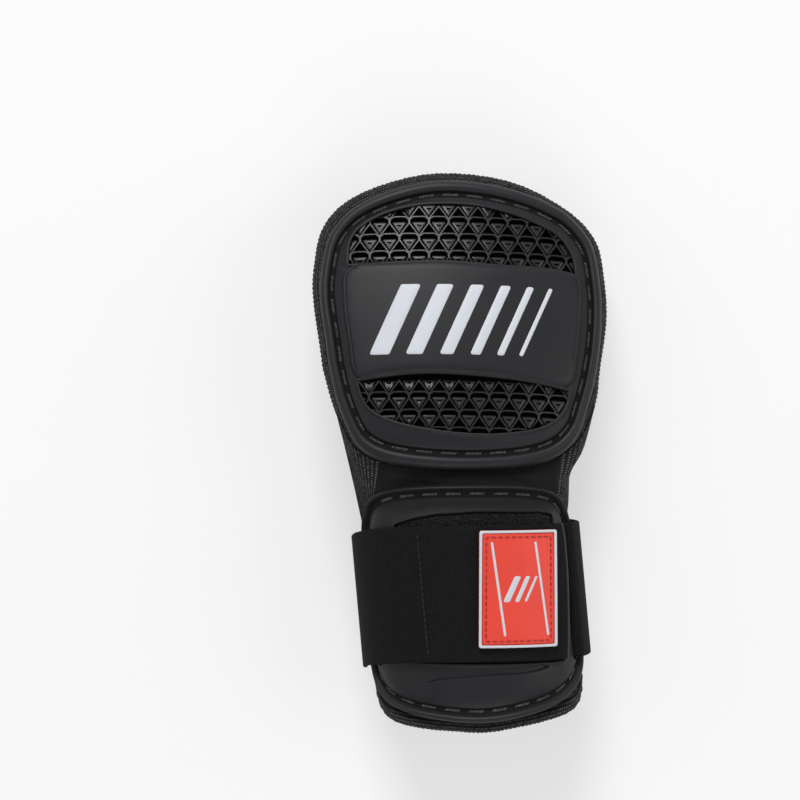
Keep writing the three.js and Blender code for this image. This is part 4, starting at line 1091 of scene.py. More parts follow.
def wrist_shell(material):
    groove_end = WRIST_BEAD + WRIST_GROOVE
    top = wrist_shell_top()
    insets = [0.7, 1.7, 2.4, 3.2, 4.0, WRIST_BEAD + 0.1, WRIST_BEAD + 0.35, groove_end - 0.35,
              groove_end - 0.1, groove_end + 0.25]
    lines = [offset(WRIST_LOOP, bead_inset(d, WRIST_LOOP[:, 1])[:, None]) for d in insets]
    lines += [STEP_EDGE - (0, d) for d in (0, 0.2, 0.6, 1.1, 1.8)]
    lines += [RECESS_LOOP, *(spaced(offset(RECESS_LOOP, d), 1.0) for d in (0.12, -0.15, -0.45, -0.9, -1.4))]
    pocket = WRIST_SHELL_TOP - BAR_THICKNESS
    low, high = STRAP_BOTTOM - SLOT_MARGIN, STRAP_TOP + SLOT_MARGIN
    for side in (1, -1):
        run = np.linspace(SLOT_START + 1.3, WRIST_HALF_RUN + 3, 12) * side
        lines += [np.column_stack([run, np.full(12, y)]) for y in (low, low + 0.12, high, high - 0.12)]

    def bottom(run, y):
        under = (np.abs(run) > SLOT_START - 0.05) & (y > low + 0.06) & (y < high - 0.06)
        return np.where(under, pocket, WRIST_SHELL_BOTTOM)

    piece = skin_body("wrist_shell_moulding", WRIST_LOOP, SLOT_LOOPS, lines, 2.2, top, bottom, wrist_place, material,
                      38, {"groove": wrist_groove_and_land_shade})
    finish_piece(piece, "wrist", ["wrist_shell"])


def wrist_curl(run, y, height):
    """As wrist_place; the rim past the shell's outline curls up beside the shell, most at the far corners."""
    run, y, height = np.broadcast_arrays(run, y, height)
    past = -depth_in(np.stack([run, y], -1).reshape(-1, 2), WRIST_LOOP).reshape(run.shape)
    corner = smooth((-68 - y) / 8) * (0.35 + 0.65 * smooth((np.abs(run) - 18) / 18))
    return wrist_place(run, y, height + 4.4 * smooth((past - 0.15) / 2.6) * corner)


def strap_wrap(material):
    """The fixed part, from its fold round the right bar to the strap's left fold."""
    half = STRAP_THICKNESS / 2
    level = (WRIST_SHELL_TOP - BAR_THICKNESS + WRIST_SHELL_BOTTOM) / 2
    slot = SLOT_START + SLOT_WIDTH / 2
    knots = [(WRIST_HALF_RUN + 2.8, level), (slot + 4, level), (slot + 1.6, level + 0.1), (slot + 0.25, level + 1.2),
             (slot, -2.6), (slot + 0.05, -0.9), (slot + 1.0, half - 0.05), (slot + 3, half), (slot + 8, half)]
    fold = spaced(curve(knots, closed=False), 0.45, closed=False)
    rest = np.linspace(slot + 8, 2 * HALF_LOOP - HINGE_RUN - FOLD_GAP, 170)[1:]
    spine = np.vstack([fold, np.column_stack([rest, np.full(len(rest), half)])])
    finish_piece(strap_band("strap_wrap_webbing", spine, strap_place, material), "wrist", ["strap_wrap"])


def strap_flap(material):
    """The front part, from the left fold to its free end."""
    runs = np.linspace(FOLD_GAP - HINGE_RUN, FLAP_END, 130)
    spine = np.column_stack([runs, np.full(len(runs), STRAP_THICKNESS / 2)])
    piece = strap_band("strap_flap_webbing", spine, flap_place, material,
                       lambda run: smooth((run - FLAP_END + 0.9) / 0.2))
    finish_piece(piece, "flap", ["strap_flap"])


def patch(name, loop, low, high, body, node, material):
    """A thin patch with a rounded edge."""
    piece = skin_body(name, loop, [], [offset(loop, 0.35), offset(loop, 1.0)], 2.2,
                      lambda x, y: high - 0.45 * (1 - smooth(depth_in(np.stack([x, y], 1), loop) / 0.9)) ** 2,
                      lambda x, y: np.full(len(x), low), wrist_place, material)
    finish_piece(piece, body, [node])


def label_box(inset, corner):
    """The label's outline, moved in."""
    half_width, half_length = LABEL_WIDTH / 2 - inset, LABEL_LENGTH / 2 - inset
    return rounded_band(LABEL_CENTRE_RUN - half_width, LABEL_CENTRE_RUN + half_width,
                        STRAP_MIDDLE - half_length, STRAP_MIDDLE + half_length, corner, 0.7)


def label(red, white):
    """The label's red plate and its raised white rim."""
    low, ledge = STRAP_THICKNESS + SEAT, STRAP_THICKNESS + SEAT + LABEL_THICKNESS
    outer, inner, rim_in = label_box(0, 0.8), label_box(LABEL_BORDER + SEAT, 0.5), label_box(LABEL_BORDER, 0.5)

    def face(x, y):
        flat = np.stack([x, y], 1)
        rise = np.interp(depth_in(flat, inner), [-0.12, 0.02, 0.2, 0.5], [0, 0.4, 0.55, 0.6])
        return ledge - 0.3 * (1 - smooth(depth_in(flat, outer) / 0.5)) ** 2 + rise

    def rim_face(x, y):
        flat = np.stack([x, y], 1)
        edge = np.minimum(depth_in(flat, outer), -depth_in(flat, rim_in))
        return ledge + SEAT + LABEL_FIELD - 0.22 * (1 - smooth(edge / 0.35)) ** 2

    lines = [offset(outer, 0.2), offset(outer, 0.5), offset(inner, -0.12), inner, offset(inner, 0.2),
             offset(inner, 0.5)]
    base = skin_body("label_plate", outer, [], lines, 1.8, face, lambda x, y: np.full(len(x), low), label_place,
                     red, 40)
    finish_piece(base, "flap", ["label_base"])
    lines = [offset(outer, 0.12), offset(outer, 0.35), offset(rim_in, -0.12), offset(rim_in, -0.35)]
    rim = skin_body("label_rim", outer, [rim_in], lines, 1.2, rim_face, lambda x, y: np.full(len(x), ledge + SEAT),
                    label_place, white, 40)
    finish_piece(rim, "flap", ["label_border"])


# Neck


def edge_at(loop, x, sign):
    """Where a closed line crosses an x, on its far side for 1 and near side for -1."""
    a, b = loop, np.roll(loop, -1, 0)
    spans = ((a[:, 0] - x) * (b[:, 0] - x) <= 0) & (a[:, 0] != b[:, 0])
    a, b = a[spans], b[spans]
    return sign * (sign * (a[:, 1] + (b - a)[:, 1] * (x - a[:, 0]) / (b - a)[:, 0])).max()


def corner_line(loop, start, end_y, sign):
    """The part of an outline from a point on its edge round the corner beside it."""
    side = np.sign(start)
    near = loop[(loop[:, 0] * side > abs(start)) & (loop[:, 1] * sign > end_y * sign)]
    near = near[np.argsort(side * near[:, 0] - sign * near[:, 1])]
    return spaced(np.vstack([(start, edge_at(loop, start, sign)), near]), 0.5, closed=False)


def neck_ends(shares):
    """Flat points at which the neck's columns meet the hand pad and the wrist unit."""
    hand_edge, wrist_edge = offset(PAD_LOOP, 0.04), offset(WRIST_PAD_LOOP, 0.28)
    shell_edge = offset(WRIST_LOOP, -0.04)
    there, here = [], []
    for share in shares:
        split, hand_y, foot, foot_y = NECK_CORNERS[int(share > 0)]
        x, run, t = share * NECK_HAND_HALF, share / split * foot, (abs(share) - abs(split)) / (1 - abs(split))
        if t <= 0:
            there.append((x, edge_at(hand_edge, x, -1)))
            here.append((run, edge_at(wrist_edge, run, 1)))
            continue
        for ends, line in ((there, corner_line(hand_edge, split * NECK_HAND_HALF, hand_y, -1)),
                           (here, corner_line(shell_edge, foot, foot_y, 1))):
            at = t * (len(line) - 1)
            ends.append([np.interp(at, np.arange(len(line)), line[:, k]) for k in range(2)])
    return np.array(there), np.array(here)


def neck_sheet(name, start, end, material):
    """A fabric piece between the pads' facing edges, and the points of its front."""
    across, steps = max(10, int((end - start) * 60)), 14
    shares = np.linspace(start, end, across + 1)
    turn = np.linspace(0, 1, steps + 1)
    arch = np.sin(turn * math.pi)
    sides, lengths = ([], []), []
    for share, there_at, here_at in zip(shares, *neck_ends(shares)):
        split = abs(NECK_CORNERS[int(share > 0)][0])
        beyond = max(0.0, (abs(share) - split) / (1 - split))
        foot_level = WRIST_LINER_BOTTOM + NECK_LEVEL + 2.7
        foot_level += (-2.7 - foot_level) * smooth((abs(share) - 0.4 * split) / (0.6 * split))
        fold = 0.00018 * np.sin(turn * TAU * 1.5 + share * 7) * arch
        fold = fold + 0.00025 * np.sin(share * 23 + turn * 2) * arch
        fold = fold + 0.00055 * beyond * np.sin(turn * TAU * 2.6 + share * 26) * arch
        bow = np.interp(turn, *FLANK_BOW) if share > 0 else 0.3 * arch
        for columns, side in zip(sides, (0.5, -0.5)):
            there = hand_place(*there_at, NECK_LEVEL + 2.3 + side * NECK_THICKNESS)
            here = wrist_place(*here_at, foot_level + side * NECK_THICKNESS)
            line = here + (there - here) * turn[:, None]
            line[:, 0] += bow * MM * beyond**1.5
            line[:, 2] += fold
            columns.append(line)
        lengths.append(np.linalg.norm(sides[0][-1][-1] - sides[0][-1][0]) / MM)
    front, back = np.array(sides)
    rows = [front[:, k] for k in range(steps + 1)] + [back[:, k] for k in range(steps, -1, -1)]
    count, total = across + 1, len(rows)
    faces = strip_faces(total, count, ring=False, loop=True)
    for i in (0, across):
        for k in range(steps):
            quad = (k * count + i, (k + 1) * count + i, (total - 2 - k) * count + i, (total - 1 - k) * count + i)
            faces.append(quad if i else quad[::-1])
    half = (NECK_HAND_HALF + NECK_WRIST_HALF) / 2
    gone = np.concatenate([turn, turn[::-1]])
    uv = np.array([(s * half, (t - 0.5) * length) for t in gone for s, length in zip(shares, lengths)])
    piece = face_out(make_object(name, np.vstack(rows), faces, material, uv / UV_SPAN, 60))
    return piece, front


def neck(smooth_fabric, mesh):
    gap = 0.03 / NECK_HAND_HALF
    for name, node, start, end, slot, material in (
        ("neck_right_strip", "neck_mesh_right", NECK_SPLITS[1] + gap, 1, "mesh_fabric", mesh),
        ("neck_middle_sheet", "neck_panel", *NECK_SPLITS, "smooth_fabric", smooth_fabric),
        ("neck_left_sheet", "neck_mesh_left", -1, NECK_SPLITS[0] - gap, "mesh_fabric", mesh),
    ):
        piece, front = neck_sheet(name, start, end, material)
        a, b, c, d = front[:-1, :-1], front[1:, :-1], front[1:, 1:], front[:-1, 1:]
        area = float(np.linalg.norm(np.cross(c - a, d - b), axis=2).sum() / 2)
        tall = max(float(np.linalg.norm(front[:, -1] - front[:, 0], axis=1).max()), 0.0101)
        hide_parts(node)
        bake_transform(piece)


# Stitches and marks


def thread_cell(length, radius, sag, sides=6):
    """One short thread, lying along X, its ends dipping below the surface."""
    rings = []
    for along, size in ((-0.5, 0.45), (-0.4, 0.95), (-0.15, 1.0), (0.15, 1.0), (0.4, 0.95), (0.5, 0.45)):
        dip = -sag * (abs(along) * 2) ** 3
        turn = np.arange(sides) / sides * TAU
        rings.append(np.column_stack([
            np.full(sides, along * length), np.cos(turn) * radius * size, np.sin(turn) * radius * size + dip + radius]))
    return face_out(make_object("thread_cell", np.vstack(rings), ring_stack(rings)))


def along_line(line, starts, closed):
    """Places and directions at lengths along a line."""
    run = np.vstack([line, line[:1]]) if closed else line
    gone = lengths_along(run)

    def at(lengths):
        return np.column_stack([np.interp(lengths, gone, run[:, k]) for k in range(2)])

    along = at(np.minimum(starts + 0.4, gone[-1])) - at(np.maximum(starts - 0.4, 0))
    return at(starts), np.arctan2(along[:, 1], along[:, 0])


def stitches(name, line, closed, starts, cell, level, place, body, material, seed, lean=0.0, spread=(0.03, 0.05)):
    """Threads at lengths along a line, each leaning by the same angle."""
    spots, angles = along_line(line, starts, closed)
    flat = np.column_stack([spots, np.full(len(spots), level)])
    piece = repeated(name, cell, flat, angles + lean, lambda p: place(*p.T), material, *spread, seed)
    finish_piece(piece, body)


def groove_stitches(name, line, closed, groups, pitch, first, group, width, level, place, body, material, seed):
    """Groups of threads that show in a shell's groove."""
    starts = np.concatenate([
        k * pitch + first + np.arange(GROUP_THREADS) * group / (GROUP_THREADS - 0.4) for k in range(groups)])
    stitches(name, line, closed, starts, thread_cell(width, 0.2, 0.25), level, place, body, material,
             seed, THREAD_LEAN, (0.12, 0.06))


def seam_stitches(name, line, closed, step, share, radius, level, place, material, seed):
    """An even row of threads on the strap's front part."""
    gone = lengths_along(line, closed)[-1]
    count = max(2, int(round(gone / step)))
    stitches(name, line, closed, (np.arange(count) + 0.5) * gone / count,
             thread_cell(step * share, radius, radius), level, place, "flap", material, seed)


def slanted_bar(x, y, width, height, slant, corner):
    """A bar leaning to the right, with round corners."""
    lean = height / 2 * math.tan(slant)
    low, high = y - height / 2, y + height / 2
    left, right = x - width / 2, x + width / 2
    corners = [(left - lean, low), (right - lean, low), (right + lean, high), (left + lean, high)]
    return spaced(rounded_path(corners, [corner] * 4, 4), 0.7)


def printed(name, loops, level, place, body, material, thick=0.16):
    """Thin printed shapes that follow the surface below them."""
    for k, loop in enumerate(loops):
        def top(x, y):
            edge = depth_in(np.stack([x, y], 1), loop)
            return level(x, y) + thick * smooth(edge / 0.25) + 0.01
        piece = skin_body(f"{name}_{k}", loop, [], [offset(loop, 0.2)], 1.6, top, lambda x, y: level(x, y) - 0.25,
                          place, material, 60)
        finish_piece(piece, body)


# Materials


class Paint:
    """One material: its shader's nodes, made by short calls."""

    def __init__(self, name, roughness, specular):
        self.material = bpy.data.materials.new(name)
        self.material.use_nodes = True
        self.tree = self.material.node_tree
        self.tree.nodes.clear()
        values = {"Roughness": roughness, "Specular IOR Level": specular}
        self.surface = self.node("ShaderNodeBsdfPrincipled", None, **values)
        output = self.node("ShaderNodeOutputMaterial")
        self.tree.links.new(self.surface.outputs[0], output.inputs["Surface"])

    def node(self, kind, settings=None, **values):
        node = self.tree.nodes.new(kind)
        for key, value in (settings or {}).items():
            setattr(node, key, value)
        for key, value in values.items():
            self.put(node.inputs[key], value)
        return node

    def put(self, socket, value):
        if isinstance(value, Field):
            self.tree.links.new(value.socket, socket)
        elif hasattr(socket.default_value, "__len__") and not hasattr(value, "__len__"):
            socket.default_value = [value] * len(socket.default_value)
        else:
            socket.default_value = value

    def out(self, node, key=0):
        return Field(self.tree, node.outputs[key])

    def coordinates(self, kind="Object"):
        return self.out(self.node("ShaderNodeTexCoord"), kind)

    def axes(self):
        """The piece's UV map, in millimetres."""
        node = self.node("ShaderNodeSeparateXYZ", Vector=self.coordinates("UV"))
        return [self.out(node, k) * UV_SPAN for k in range(2)]

    def noise(self, scale, detail):
        node = self.node("ShaderNodeTexNoise", None, Vector=self.coordinates(), Scale=scale, Detail=detail)
        return self.out(node, "Fac")

    def cells(self, scale):
        return self.out(self.node("ShaderNodeTexVoronoi", None, Vector=self.coordinates(), Scale=scale), "Distance")

    def mark(self, name):
        """A value that the piece's mesh carries."""
        return self.out(self.node("ShaderNodeAttribute", {"attribute_name": name}), "Fac")

    def ramp(self, value, low, high):
        node = self.node("ShaderNodeMapRange", {"interpolation_type": "SMOOTHSTEP"})
        for k, item in enumerate((value, low, high, 0.0, 1.0)):
            self.put(node.inputs[k], item)
        return self.out(node)

    def blend(self, factor, a, b):
        node = self.node("ShaderNodeMix", {"data_type": "RGBA"})
        self.put(node.inputs[0], factor)
        for socket, value in ((node.inputs[6], a), (node.inputs[7], b)):
            self.put(socket, value if isinstance(value, Field) else (*value, 1.0))
        return self.out(node, 2)

    def colour(self, value):
        self.put(self.surface.inputs["Base Color"], value if isinstance(value, Field) else (*value, 1.0))
        return self

    def rough(self, value):
        self.put(self.surface.inputs["Roughness"], value)
        return self

    def bump(self, height, strength, distance):
        node = self.node("ShaderNodeBump", None, Height=height, Strength=strength, Distance=distance)
        self.put(self.surface.inputs["Normal"], self.out(node))
        return self


def shade(colour, share):
    """A colour made darker or lighter."""
    return tuple(c * share for c in colour)


def wave(value, pitch):
    """A wave from 0 to 1 with the given pitch."""
    return (value * (TAU / pitch)).sine() * 0.5 + 0.5


def shell_material(colour):
    paint = Paint("Moulded rubber", 0.45, 0.36)
    grain, broad, fine = paint.noise(3200, 3), paint.noise(45, 3), paint.cells(2600)
    rubber = paint.blend(paint.ramp(broad, 0.3, 0.7), shade(colour, 0.88), shade(colour, 1.14))
    # painted shade: the groove mark takes the colour to near black in the shells' grooves and on the wrist land beside
    # the neck
    groove = paint.mark("groove")
    paint.colour(paint.blend(groove, rubber, shade(colour, 0.05)))
    paint.rough(0.38 + 0.14 * grain + 0.08 * broad + 0.35 * groove)
    return paint.bump(0.6 * grain + 0.4 * fine, 0.32, 0.00006).material


def lattice_material(colour):
    paint = Paint("Lattice rubber", 0.3, 0.45)
    grain = paint.noise(2400, 2)
    level = paint.mark("level")
    rubber = paint.blend(paint.noise(160, 2), shade(colour, 0.8), shade(colour, 1.25))
    # painted shade: low parts of the cells go near black, most in the pockets and in the sunk row under the lower sill
    pocket_shade = paint.ramp(level, LATTICE_TOP + 1.6, LATTICE_TOP + 0.3)
    paint.colour(paint.blend(pocket_shade, rubber, shade(colour, 0.03)))
    paint.rough(0.27 + 0.14 * grain + 0.5 * pocket_shade)
    return paint.bump(grain, 0.2, 0.00004).material


def mesh_material(name, colour, swap=False):
    """Knit: columns of slanted dashes with painted highlights on a near-black ground, every other column half a step
    on.
    """
    paint, column = Paint(name, 0.75, 0.3), 1.25
    across, along = paint.axes()
    if swap:
        across, along = along, across
    across = across * (1 / column) + 0.25 * paint.noise(120, 1)
    odd = (across * 0.5).part() * 2
    place = across.part() - 0.5
    shift = along + paint.ramp(odd, 0.98, 1.02) * 0.5 + place * 0.8
    here = (shift + 100.0).part() - 0.5
    dash = (1 - paint.ramp(place.size(), 0.16, 0.36)) * (1 - paint.ramp(here.size(), 0.14, 0.42))
    fuzz = paint.noise(2600, 2)
    # painted highlights: bright flecks on the dashes, up to fifteen times the knit's colour
    glint = dash * paint.ramp(paint.noise(700, 1) + 0.2 * fuzz, 0.3, 0.75)
    paint.colour(paint.blend(glint, shade(colour, 0.35), shade(colour, 15)))
    return paint.bump(dash + fuzz * 0.25, 0.9, 0.0004).material


def smooth_material(colour):
    paint = Paint("Smooth fabric", 0.85, 0.2)
    across, along = paint.axes()
    twill = wave(across + along * 0.6, 0.42) * 0.6 + wave(along, 0.36) * 0.4
    paint.colour(paint.blend(paint.noise(60, 3), shade(colour, 0.8), shade(colour, 1.3)))
    return paint.bump(twill + paint.noise(1800, 2) * 0.5, 0.35, 0.00008).material


def elastic_material(colour):
    paint = Paint("Elastic webbing", 0.85, 0.12)
    along, across = paint.axes()
    rows = wave(along + 0.1 * wave(across, 1.45), 0.8)
    yarn = wave(across + 0.5 * rows, 0.62)
    fuzz = paint.noise(2200, 3)
    flecks = paint.ramp(rows * 0.3 + yarn * 0.25 + fuzz * 0.75, 0.4, 1.0)
    web = paint.blend(flecks, shade(colour, 0.4), shade(colour, 2.8))
    # the edge mark makes the flap's cut end much lighter
    cut = paint.mark("edge")
    paint.colour(paint.blend(cut, web, shade(colour, 12)))
    paint.rough(0.72 + 0.2 * fuzz)
    return paint.bump(rows * 0.6 + yarn * 0.35 + fuzz * 0.6, 0.6, 0.00018).material


def pile_material(colour):
    paint = Paint("Loop pile", 0.95, 0.15)
    fuzz, tufts = paint.noise(1900, 4), paint.cells(1100)
    paint.colour(paint.blend(paint.ramp(fuzz, 0.4, 0.75), shade(colour, 0.6), shade(colour, 2.2)))
    return paint.bump(fuzz + tufts * 0.5, 1.0, 0.0004).material


def hook_material(colour):
    paint = Paint("Hook tape", 0.6, 0.4)
    across, along = paint.axes()
    hooks = paint.ramp(wave(across, 1.1) * wave(along, 1.4), 0.5, 0.9)
    paint.colour(paint.blend(hooks, shade(colour, 0.7), shade(colour, 2.5)))
    return paint.bump(hooks, 0.9, 0.0004).material


def lining_material(colour):
    paint = Paint("Brushed lining", 0.92, 0.2)
    fuzz, soft = paint.noise(1500, 4), paint.noise(90, 3)
    paint.colour(paint.blend(paint.ramp(fuzz * 0.7 + soft * 0.3, 0.3, 0.7), shade(colour, 0.75), shade(colour, 1.5)))
    return paint.bump(fuzz, 0.6, 0.0002).material


def plain_material(name, colour, roughness, grain_scale=1800.0, depth=0.00004, spread=0.08, specular=0.45):
    paint = Paint(name, roughness, specular)
    grain, broad = paint.noise(grain_scale, 2), paint.noise(70, 3)
    paint.colour(paint.blend(broad, shade(colour, 1 - spread), shade(colour, 1 + spread)))
    paint.rough(roughness - 0.06 + 0.12 * grain)
    return paint.bump(grain, 0.3, depth).material


def thread_material(name, colour, spread):
    paint = Paint(name, 0.42, 0.5)
    twist = paint.noise(1100, 2)
    paint.colour(paint.blend(paint.ramp(twist, 0.35, 0.7), shade(colour, 0.7), shade(colour, spread)))
    return paint.bump(twist, 0.5, 0.00008).material


def floor_material():
    """A pale floor that the camera sees a little brighter than the light on it."""
    paint = Paint("Floor", 0.9, 0.1)
    paint.colour(paint.blend(paint.noise(70, 3), (0.966, 0.966, 0.966), (0.974, 0.974, 0.974)))
    paint.bump(paint.noise(30, 2), 0.3, 0.00001)
    glow = paint.node("ShaderNodeEmission", None, Color=(1, 1, 1, 1), Strength=1.0)
    seen = paint.out(paint.node("ShaderNodeLightPath"), "Is Camera Ray")
    mix = paint.node("ShaderNodeMixShader", None, Fac=seen * 0.5)
    output = next(n for n in paint.tree.nodes if n.type == "OUTPUT_MATERIAL")
    for node, socket in ((paint.surface, mix.inputs[1]), (glow, mix.inputs[2]), (mix, output.inputs["Surface"])):
        paint.tree.links.new(node.outputs[0], socket)
    return paint.material


def material(name):
    """The guard's materials, made once from the panel's colours."""
    found = bpy.data.materials.get(name)
    if found is not None:
        return found
    s = bpy.context.scene.guard
    makers = {
        "Moulded rubber": lambda: shell_material(s.shell_colour),
        "Lattice rubber": lambda: lattice_material(s.lattice_colour),
        # painted shade: the lattice's floor at 0.08 of its colour, with almost no sheen
        "Lattice floor shade": lambda: plain_material("Lattice floor shade", shade(s.lattice_colour, 0.08), 0.9, specular=0.04),
        "Knitted mesh": lambda: mesh_material("Knitted mesh", s.mesh_colour, True),
        "Neck mesh": lambda: mesh_material("Neck mesh", s.mesh_colour),
        "Smooth fabric": lambda: smooth_material(shade(s.fabric_colour, 1.35)),
        "Elastic webbing": lambda: elastic_material(s.fabric_colour),
        "Loop pile": lambda: pile_material(s.fabric_colour),
        "Pile thread": lambda: thread_material("Pile thread", s.fabric_colour, 3.8),
        "Hook tape": lambda: hook_material(s.fabric_colour),
        "Brushed lining": lambda: lining_material(s.mesh_colour),
        "Label red": lambda: plain_material("Label red", s.label_colour, 0.5),
        "Label white": lambda: plain_material("Label white", s.print_colour, 0.45, spread=0.03),
        "White print": lambda: plain_material("White print", s.print_colour, 0.5, 2600.0, 0.00002, 0.04),
        "Groove thread": lambda: thread_material("Groove thread", s.thread_colour, 1.7),
        "Seam thread": lambda: thread_material("Seam thread", shade(s.fabric_colour, 0.5), 2.0),
        "Label thread": lambda: thread_material("Label thread", (0.42, 0.02, 0.012), 1.3),
    }
    return makers[name]()


# Settings and operators


def length(name, text, default):
    return FloatProperty(name=name, description=text + ", in millimetres", default=default, min=0.1, max=200.0)


def tint(name, text, default):
    return FloatVectorProperty(name=name, description=text, subtype="COLOR", size=3, default=default, min=0, max=1)


class GuardSettings(bpy.types.PropertyGroup):
    """Sizes and colours of the guard's visual pieces."""

    stitch_pitch: length("Stitch pitch", "From one group of groove stitches to the next", 9.3)
    stitch_group: length("Stitch group", "Length of one group of groove stitches", 5.6)
    seam_step: length("Seam step", "From one seam stitch to the next", 2.4)
    shell_colour: tint("Mouldings", "Colour of the moulded shells", (0.0115, 0.0115, 0.0142))
    lattice_colour: tint("Lattice", "Colour of the lattice insert", (0.016, 0.016, 0.0168))
    mesh_colour: tint("Mesh", "Colour of the knitted mesh", (0.0085, 0.0085, 0.009))
    fabric_colour: tint("Fabric", "Colour of the smooth fabric and webbing", (0.0058, 0.0058, 0.0064))
    thread_colour: tint("Thread", "Colour of the groove threads", (0.085, 0.085, 0.09))
    label_colour: tint("Label", "Colour of the label's field", (0.84, 0.06, 0.036))
    print_colour: tint("Print", "Colour of the printed marks", (0.66, 0.69, 0.74))


class PieceOperator:
    """What the guard's operators share."""

    bl_options = {"REGISTER", "UNDO"}


class GUARD_OT_hand_shell(PieceOperator, bpy.types.Operator):
    """Build the moulded shell of the hand pad, with its printed bars"""

    bl_idname = "guard.hand_shell"
    bl_label = "Hand shell"

    def execute(self, context):
        hand_shell(material("Moulded rubber"))
        bars = [slanted_bar(x, 58.0, width, 27, BAR_SLANT, 0.8) for x, width in PANEL_BARS]
        printed("panel_bar", bars, hand_shell_top(), hand_place, "hand", material("White print"))
        return {"FINISHED"}


class GUARD_OT_lattice(PieceOperator, bpy.types.Operator):
    """Build the lattice insert that shows through the shell's two windows"""

    bl_idname = "guard.lattice"
    bl_label = "Lattice"

    def execute(self, context):
        lattice(material("Lattice rubber"), material("Lattice floor shade"))
        return {"FINISHED"}


class GUARD_OT_hand_pad(PieceOperator, bpy.types.Operator):
    """Build the hand's padded cover and lining"""

    bl_idname = "guard.hand_pad"
    bl_label = "Hand pad"

    def execute(self, context):
        soft_pad("hand_pad", PAD_LOOP, (COVER_TOP, FOAM_BOTTOM), EDGE_ROLL, 5.5, HAND_FOLDS,
                 lambda y: smooth((y - 24) / 6), hand_place, "hand", material("Knitted mesh"),
                 ["hand_cover", "hand_foam"])
        lining("hand_lining", offset(COVER_LOOP, EDGE_ROLL * 0.3), 0, LINER_THICKNESS, hand_place, "hand",
               material("Brushed lining"), "hand_liner", *HAND_LINING_SHEET)
        return {"FINISHED"}


class GUARD_OT_finger_loops(PieceOperator, bpy.types.Operator):
    """Build the two elastic finger loops"""

    bl_idname = "guard.finger_loops"
    bl_label = "Finger loops"

    def execute(self, context):
        for name in LOOP_XS:
            finger_loop(name, material("Elastic webbing"))
        return {"FINISHED"}


class GUARD_OT_neck(PieceOperator, bpy.types.Operator):
    """Build the three fabric pieces between the pads"""

    bl_idname = "guard.neck"
    bl_label = "Neck"

    def execute(self, context):
        neck(material("Smooth fabric"), material("Neck mesh"))
        return {"FINISHED"}


class GUARD_OT_wrist_shell(PieceOperator, bpy.types.Operator):
    """Build the moulded shell of the wrist pad"""

    bl_idname = "guard.wrist_shell"
    bl_label = "Wrist shell"

    def execute(self, context):
        wrist_shell(material("Moulded rubber"))
        return {"FINISHED"}


class GUARD_OT_wrist_pad(PieceOperator, bpy.types.Operator):
    """Build the wrist's padded cover and lining"""

    bl_idname = "guard.wrist_pad"
    bl_label = "Wrist pad"

    def execute(self, context):
        soft_pad("wrist_pad", WRIST_PAD_LOOP, (WRIST_COVER_TOP, WRIST_FOAM_BOTTOM), WRIST_EDGE_ROLL, 6,
                 WRIST_FOLDS, lambda y: smooth((-22 - y) / 6), wrist_curl, "wrist",
                 material("Knitted mesh"), ["wrist_cover", "wrist_foam"])
        lining("wrist_lining", offset(WRIST_COVER_LOOP, WRIST_EDGE_ROLL * 0.3), WRIST_LINER_BOTTOM, WRIST_LINER_TOP,
               wrist_place, "wrist", material("Brushed lining"), "wrist_liner", *WRIST_LINING_SHEET)
        return {"FINISHED"}


class GUARD_OT_strap(PieceOperator, bpy.types.Operator):
    """Build the strap's fixed part, its front flap, and the hook and loop patches"""

    bl_idname = "guard.strap"
    bl_label = "Strap"

    def execute(self, context):
        strap_wrap(material("Elastic webbing"))
        strap_flap(material("Elastic webbing"))
        low = RECESS_FLOOR + SEAT
        top = low + PATCH_THICKNESS
        patch("loop_pile_patch", spaced(offset(RECESS_LOOP, SEAT), 1.0), low, top, "wrist",
              "loop_patch", material("Loop pile"))
        dice = np.random.default_rng(7)
        spots = np.column_stack([dice.uniform(RECESS_LEFT, RECESS_RIGHT, 5200), dice.uniform(-20.5, -12.3, 5200)])
        spots = spots[depth_in(spots, RECESS_LOOP) > 0.9]
        flat = np.column_stack([spots, dice.uniform(top - 0.1, top + 0.12, len(spots))])
        tufts = repeated("pile_tufts", thread_cell(0.75, 0.07, 0.25, 4), flat, dice.uniform(0, math.pi, len(spots)),
                         lambda p: wrist_place(*p.T), material("Pile thread"), 0.5, 0.3, 9)
        finish_piece(tufts, "wrist")
        loop = rounded_band(HOOK_START, RECESS_RIGHT - STRAP_THICKNESS, STRAP_BOTTOM + STRAP_THICKNESS,
                            STRAP_TOP - STRAP_THICKNESS, 1.6)
        patch("hook_tape_patch", loop, -SEAT - PATCH_THICKNESS, -SEAT, "flap", "hook_patch",
              material("Hook tape"))
        return {"FINISHED"}


class GUARD_OT_label(PieceOperator, bpy.types.Operator):
    """Build the label with its raised border and plain bars"""

    bl_idname = "guard.label"
    bl_label = "Label"

    def execute(self, context):
        label(material("Label red"), material("Label white"))
        bars = [slanted_bar(LABEL_CENTRE_RUN + x, STRAP_MIDDLE, width, 9.5, BAR_SLANT, 0.4) for x, width in LABEL_BARS]
        bars += [slanted_bar(LABEL_CENTRE_RUN + x, STRAP_MIDDLE, 0.9, 35, LINE_SLANT, 0.3) for x in LABEL_LINES]
        printed("label_bar", bars, lambda x, y: np.full(len(x), LABEL_FACE), label_place, "flap",
                material("Label white"), 0.12)
        return {"FINISHED"}


